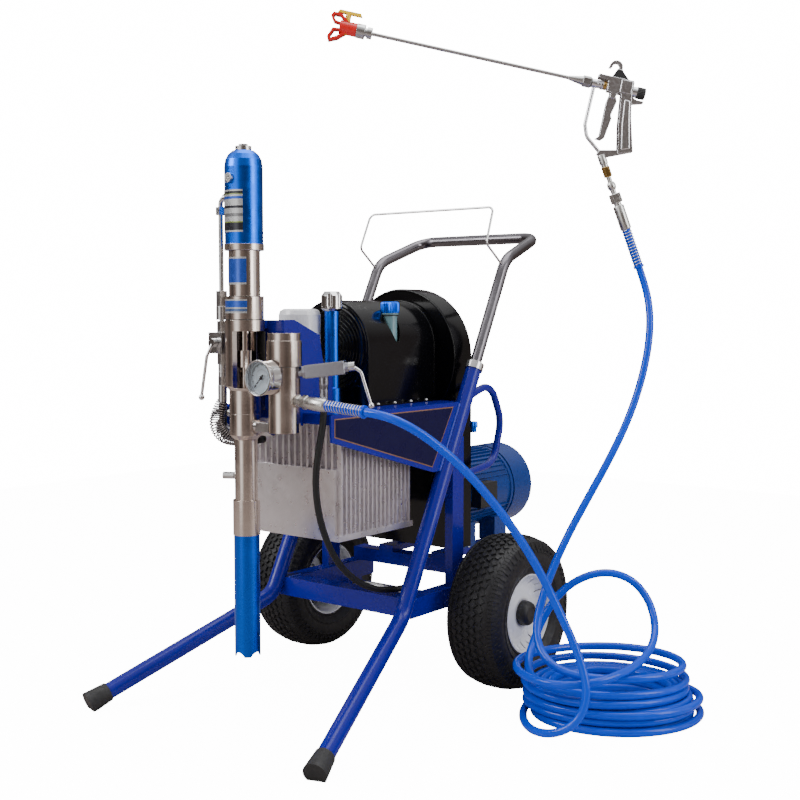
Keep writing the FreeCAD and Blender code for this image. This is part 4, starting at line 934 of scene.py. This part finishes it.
gun_prism("gun_lock_cover", [(-0.0105, 0.0138), (-0.0085, 0.0175), (-0.0030, 0.0290), (0.0000, 0.0305),
                             (0.0065, 0.0305), (0.0100, 0.0290), (0.0245, 0.0160), (0.0260, 0.0138)], 0.0089,
          black_plastic.material, 0.0018)
ribbed("gun_rear_knob", gun_place @ axes_at(Vector((0.0, 0.0, -0.006)), X),
       [(0.0, 0.0470, 0), (0.0110, 0.0472, 1), (0.0124, 0.0485, 1), (0.0124, 0.0635, 1), (0.0112, 0.0655, 1),
        (0.0070, 0.0662, 0), (0.0, 0.0658, 0)], 22, 0.0010, "cart", black_plastic.material)
for name, profile, material, slot in (
        ("gun_front_band", [(0.0086, -0.0295), (0.0098, -0.0290), (0.0098, -0.0245), (0.0086, -0.0240)],
         chrome.material, "chrome"),
        ("gun_seal_nut", [(0.0085, -0.0236), (0.0094, -0.0230), (0.0094, -0.0170), (0.0085, -0.0164)],
         brass.material, "bright_steel"),
        ("gun_ring_black", [(0.0090, -0.0502), (0.0098, -0.0498), (0.0098, -0.0482), (0.0090, -0.0478)],
         seam_and_shade_black.material, "dark_steel")):
    piece = lathe(name, gun_place @ axes_at(Vector((0.0, 0.0, -0.006)), X), profile, "cart", material, 40)
gun_prism("gun_side_plate", [(0.0105, 0.0125), (0.0355, 0.0125), (0.0365, -0.0145), (0.0115, -0.0145)], 0.0117,
          gun_alloy.material, 0.0016)
gun_prism("gun_grip_swell", [(0.0235, -0.0260), (0.0385, -0.0260), (0.0440, -0.0560), (0.0600, -0.1240),
                             (0.0400, -0.1310), (0.0300, -0.0800)], 0.0121, gun_alloy.material,
          0.0040)

# ---------------------------------------------------------------- motor
MOTOR_Z = 0.378
bm = bmesh.new()
for i in range(48):
    turn = math.radians(7.5 * i)
    way = Vector((math.cos(turn), 0, math.sin(turn)))
    if abs(math.sin(turn)) < 0.30 and way.x > 0 or way.z < -0.62:
        continue
    place = axes_at(at(0, 0, MOTOR_Z) + way * 0.0905, way, Y)
    add_box(bm, place, (0.074, -0.0013, 0.0), (0.2885, 0.0013, 0.0062))
fins = from_bmesh("motor_fins", bm, "cart", motor_blue.material, 30)
soften(fins, 0.0006, 1)
bm = bmesh.new()
for radius in (0.010, 0.017, 0.024):
    add_lathe(bm, axes_at(at(0, 0.3905, MOTOR_Z), Y), [(radius - 0.0013, -0.001), (radius - 0.0013, 0.001),
                                                       (radius + 0.0013, 0.001), (radius + 0.0013, -0.001),
                                                       (radius - 0.0013, -0.001)], 40)
for i in range(6):
    turn = math.pi * i / 3
    way = Vector((math.cos(turn), 0, math.sin(turn)))
    add_box(bm, axes_at(at(0, 0.3905, MOTOR_Z), Y, way), (0.0085, -0.0012, -0.001), (0.027, 0.0012, 0.001))
for i in range(24):
    turn = 2 * math.pi * i / 24
    way = Vector((math.cos(turn), 0, math.sin(turn)))
    add_box(bm, axes_at(at(0, 0.3930, MOTOR_Z), Y, way), (0.036, -0.0018, -0.001), (0.080, 0.0018, 0.0008))
cowl = from_bmesh("fan_grille", bm, "cart", motor_blue.material, 30)


def bolt(bm, spot, way, across_flats=0.013, height=0.0055):
    """A hexagon head on its washer."""
    place = axes_at(spot, way)
    add_lathe(bm, place, [(0.0, 0.0012), (across_flats * 0.78, 0.0012), (across_flats * 0.82, 0.0)], 24)
    add_hex(bm, place, across_flats, 0.0008, height)


bm = bmesh.new()
for s in SIDES:
    for y in (0.115, 0.245):
        bolt(bm, at(s * 0.0905, y, 0.2625), Z, 0.008, 0.008)
    for y in (-0.36, -0.20):
        bolt(bm, at(s * 0.1325, y, 0.4965), Z, 0.008, 0.005)
    for x in (0.02, 0.095):
        bolt(bm, at(s * x, -0.4592, 0.600), -Y, 0.009, 0.0045)
for x, z in ((-0.032, 0.632), (-0.032, 0.765)):
    bolt(bm, at(x, -0.4682, z), -Y, 0.0095, 0.005)
bolts = from_bmesh("cart_bolts", bm, "cart", zinc.material, 30)
ribbed("breather_knob", axes_at(at(0.148, 0.050, 0.536), Z),
       [(0.0, 0.0, 0), (0.008, 0.0, 0), (0.008, 0.010, 0), (0.011, 0.011, 1), (0.011, 0.021, 1),
        (0.009, 0.024, 0.5), (0.0, 0.0245, 0)], 12, 0.001, "cart", anodised.material)

# ---------------------------------------------------------------- hoses
HOSE_RADIUS = 0.008
DRAIN_RADIUS = 0.0065
COIL_CENTRE = at(0.536, -0.025, 0)
COIL_TURN = math.radians(37.8)


def by_coil(right, back, height):
    """A point beside the coil: along its long axis, along its short axis, and above the floor."""
    return COIL_CENTRE + Vector((right * math.cos(COIL_TURN) - back * math.sin(COIL_TURN),
                                 right * math.sin(COIL_TURN) + back * math.cos(COIL_TURN), height))


FEED_ROUTE = [HOSE_START, HOSE_START + OUTLET_LINE * 0.030, at(0.354, -0.492, 0.616), at(0.388, -0.468, 0.592),
              at(0.411, -0.430, 0.561),
              at(0.430, -0.384, 0.518), at(0.447, -0.336, 0.468), at(0.464, -0.288, 0.410),
              by_coil(-0.177, -0.137, 0.350), by_coil(-0.147, -0.126, 0.290), by_coil(-0.121, -0.131, 0.236),
              by_coil(-0.098, -0.144, 0.186), by_coil(-0.081, -0.160, 0.142)]
LANDING = [by_coil(-0.073, -0.173, 0.106), by_coil(-0.078, -0.182, 0.073), by_coil(-0.092, -0.186, 0.047),
           by_coil(-0.114, -0.184, 0.028), by_coil(-0.140, -0.172, 0.017), by_coil(-0.162, -0.149, 0.011),
           by_coil(-0.178, -0.117, 0.0090), by_coil(-0.185, -0.072, 0.0086)]
LOOP_RISE = [by_coil(-0.146, -0.108, 0.086), by_coil(-0.169, -0.064, 0.088), by_coil(-0.173, -0.014, 0.095),
             by_coil(-0.162, 0.028, 0.116)]
LOOP_ROUTE = [by_coil(-0.145, 0.053, 0.148), by_coil(-0.127, 0.063, 0.188), by_coil(-0.104, 0.064, 0.228),
              by_coil(-0.060, 0.063, 0.266), by_coil(0.0, 0.062, 0.284), by_coil(0.054, 0.062, 0.266),
              by_coil(0.084, 0.052, 0.226), by_coil(0.094, 0.028, 0.186), by_coil(0.088, -0.008, 0.154),
              by_coil(0.066, -0.050, 0.134), by_coil(0.030, -0.096, 0.122), by_coil(-0.012, -0.132, 0.116),
              by_coil(-0.056, -0.154, 0.108), by_coil(-0.104, -0.158, 0.103), by_coil(-0.150, -0.140, 0.103),
              by_coil(-0.184, -0.098, 0.103), by_coil(-0.201, -0.040, 0.103), by_coil(-0.193, 0.022, 0.104),
              by_coil(-0.158, 0.080, 0.104)]
TOP_END = [by_coil(-0.122, -0.070, 0.108), by_coil(-0.148, -0.040, 0.128), by_coil(-0.155, -0.010, 0.158),
           by_coil(-0.150, 0.008, 0.190)]
RISER_ROUTE = [HOSE_END, HOSE_END + TAIL_LINE * 0.030, HOSE_END + TAIL_LINE * 0.066,
               at(0.522, 0.157, 0.784), at(0.522, 0.152, 0.736),
               at(0.517, 0.138, 0.674), at(0.508, 0.114, 0.606), at(0.495, 0.082, 0.544),
               at(0.477, 0.044, 0.478), at(0.456, 0.002, 0.412), at(0.437, -0.040, 0.346),
               at(0.424, -0.074, 0.284), at(0.416, -0.096, 0.230)]


def coil_turns(turns, start_angle, per_turn=16):
    """Loose turns, wound clockwise: in and out across the ring, then up to the next layer."""
    points = []
    across = 3.3            # turns from the outside of the ring to its inside
    layer_height = 0.0160
    for i in range(1, int(turns * per_turn) + 1):
        done = i / per_turn
        layer = int(done / across)
        step = done / across - layer
        inward = step if layer % 2 == 0 else 1 - step
        angle = start_angle - 2 * math.pi * done
        rise = done / across
        wobble = 0.004 * math.sin(2 * angle + 1.3 * rise) + 0.0025 * math.sin(3 * angle - 0.9 * rise)
        lift = layer_height * (layer + max(0.0, (step - 0.9) / 0.1))
        long_half = 0.190 - 0.062 * inward + wobble - 0.003 * rise
        short_half = 0.157 - 0.054 * inward + wobble * 0.8 - 0.002 * rise
        points.append(by_coil(long_half * math.cos(angle) + 0.008 - 0.0045 * rise,
                              short_half * math.sin(angle) - 0.006 + 0.0035 * rise,
                              HOSE_RADIUS + 0.0006 + lift + 0.0012 * (1 + math.sin(2 * angle + rise)) * min(1, rise)))
    return points


def last_turn():
    """From the standing loop round the top of the ring to where the hose rises to the gun."""
    points = []
    for i in range(12):
        angle = math.radians(118 - 22.4 * i)
        ratio = 0.84 - 0.011 * i
        points.append(by_coil(0.19 * ratio * math.cos(angle), 0.157 * ratio * math.sin(angle), 0.103))
    return points


def eased(points, rounds, firm):
    """Relax a line of points, so that sharp turns open out; firm stretches at the ends stay put."""
    line = [Vector(p) for p in points]
    for _ in range(rounds):
        moved = list(line)
        for i in range(firm, len(line) - firm):
            moved[i] = line[i] * 0.5 + (line[i - 1] + line[i + 1]) * 0.25
        line = moved
    return line


path = FEED_ROUTE + LANDING + coil_turns(13.9, math.radians(-152)) + LOOP_RISE + LOOP_ROUTE + last_turn()
path = eased(path + TOP_END + RISER_ROUTE[::-1], 1, 2)
paint_hose = wire("paint_hose_line", path, HOSE_RADIUS, "cart", hose_blue.material, resolution=6, sides=6)
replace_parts(paint_hose, "paint_hose", "hose_coil")

DRAIN_LINE = Matrix.Rotation(math.radians(28), 3, "Z") @ Matrix.Rotation(math.radians(-7), 3, "Y") @ X
DRAIN_AT = at(*MANIFOLD_AT, 0.685)
DRAIN_START = DRAIN_AT + DRAIN_LINE * 0.076 - Z * 0.058
DRAIN_ROUTE = [DRAIN_START, DRAIN_START - Z * 0.036, at(0.161, -0.477, 0.548), at(0.154, -0.479, 0.500),
               at(0.149, -0.472, 0.452), at(0.143, -0.454, 0.404), at(0.135, -0.424, 0.356),
               at(0.127, -0.384, 0.310), at(0.122, -0.336, 0.272), at(0.121, -0.284, 0.244),
               at(0.124, -0.236, 0.230), at(0.132, -0.192, 0.226), at(0.143, -0.156, 0.230)]
drain_hose = wire("drain_hose_line", DRAIN_ROUTE, DRAIN_RADIUS, "cart", rubber.material, sides=6)
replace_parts(drain_hose, "drain_hose")

# ---------------------------------------------------------------- studio
BACKDROP = 16.0
FLOOR_GLOW = 14.0        # seen by the camera only, so that the sweep stays white around the cart
floor_mesh = bpy.data.meshes.new("floor")
floor_bm = bmesh.new()
add_box(floor_bm, Matrix.Identity(4), (-3.2, -3.2, -0.05), (3.2, 3.2, -0.0004))
floor_bm.to_mesh(floor_mesh)
floor_bm.free()
floor = bpy.data.objects.new("floor", floor_mesh)
scene.collection.objects.link(floor)
floor_paint = Shader("floor_paint")
floor_glow = floor_paint.add("ShaderNodeMath", operation="MULTIPLY")
floor_rays = floor_paint.add("ShaderNodeLightPath")
floor_paint.put(floor_glow.inputs[0], floor_rays.outputs["Is Camera Ray"])
floor_glow.inputs[1].default_value = FLOOR_GLOW
floor_color = floor_paint.blend(floor_rays.outputs["Is Glossy Ray"], (0.86, 0.86, 0.87), (0.32, 0.27, 0.25))
floor_paint.set(Base_Color=floor_color, Roughness=floor_paint.spread(floor_paint.noise(3), 0.5, 0.6),
                Emission_Color=(1, 1, 1), Emission_Strength=floor_glow.outputs[0])
floor.data.materials.append(floor_paint.material)

world = bpy.data.worlds.new("studio")
scene.world = world
world.use_nodes = True
tree = world.node_tree
backdrop = tree.nodes["Background"]
backdrop.inputs["Color"].default_value = (1, 1, 1, 1)
backdrop.inputs["Strength"].default_value = BACKDROP
room = tree.nodes.new("ShaderNodeBackground")
room.inputs["Strength"].default_value = 0.85
direction = tree.nodes.new("ShaderNodeSeparateXYZ")
tree.links.new(tree.nodes.new("ShaderNodeTexCoord").outputs["Generated"], direction.inputs["Vector"])
spin = tree.nodes.new("ShaderNodeMath")
spin.operation = "ARCTAN2"
tree.links.new(direction.outputs["Y"], spin.inputs[0])
tree.links.new(direction.outputs["X"], spin.inputs[1])
walls = tree.nodes.new("ShaderNodeValToRGB")
round_room = tree.nodes.new("ShaderNodeMapRange")
round_room.inputs["From Min"].default_value = -math.pi
round_room.inputs["From Max"].default_value = math.pi
tree.links.new(spin.outputs[0], round_room.inputs["Value"])
tree.links.new(round_room.outputs["Result"], walls.inputs["Fac"])
walls.color_ramp.interpolation = "EASE"
WALLS = [(0.0, 0.22), (0.10, 0.07), (0.17, 0.24), (0.24, 2.0), (0.31, 0.26), (0.42, 0.12), (0.53, 0.30),
         (0.59, 1.7), (0.65, 0.30), (0.855, 0.07), (1.0, 0.22)]
WARM, NEUTRAL = (1.0, 0.82, 0.74), (1.0, 0.99, 0.98)
for n, (position, level) in enumerate(WALLS):
    stop = walls.color_ramp.elements[n] if n < 2 else walls.color_ramp.elements.new(position)
    stop.position = position
    tint = NEUTRAL if level > 1 else WARM
    stop.color = (*(level * part for part in tint), 1)
ceiling = tree.nodes.new("ShaderNodeMapRange")
ceiling.inputs["From Min"].default_value = 0.25
ceiling.inputs["From Max"].default_value = 0.7
tree.links.new(direction.outputs["Z"], ceiling.inputs["Value"])
blend_up = tree.nodes.new("ShaderNodeMix")
blend_up.data_type = "RGBA"
tree.links.new(ceiling.outputs["Result"], blend_up.inputs["Factor"])
tree.links.new(walls.outputs["Color"], blend_up.inputs["A"])
blend_up.inputs["B"].default_value = (1, 1, 1, 1)
tree.links.new(blend_up.outputs["Result"], room.inputs["Color"])
choose = tree.nodes.new("ShaderNodeMixShader")
tree.links.new(tree.nodes.new("ShaderNodeLightPath").outputs["Is Camera Ray"], choose.inputs["Fac"])
tree.links.new(room.outputs["Background"], choose.inputs[1])
tree.links.new(backdrop.outputs["Background"], choose.inputs[2])
tree.links.new(choose.outputs["Shader"], tree.nodes["World Output"].inputs["Surface"])


def area_light(name, position, target, size, power):
    light = bpy.data.lights.new(name, "AREA")
    light.shape = "RECTANGLE"
    light.size, light.size_y = size
    light.energy = power
    obj = bpy.data.objects.new(name, light)
    obj.location = position
    obj.rotation_euler = (Vector(target) - Vector(position)).to_track_quat("-Z", "Y").to_euler()
    scene.collection.objects.link(obj)


middle = at(0, -0.1, 0.6)
area_light("key", at(-1.6, -2.6, 2.4), middle, (1.6, 1.6), 70)
area_light("side", at(3.0, 0.2, 1.8), middle, (1.2, 2.4), 45)
area_light("top", at(0.2, 0.2, 3.4), middle, (2.5, 2.5), 60)
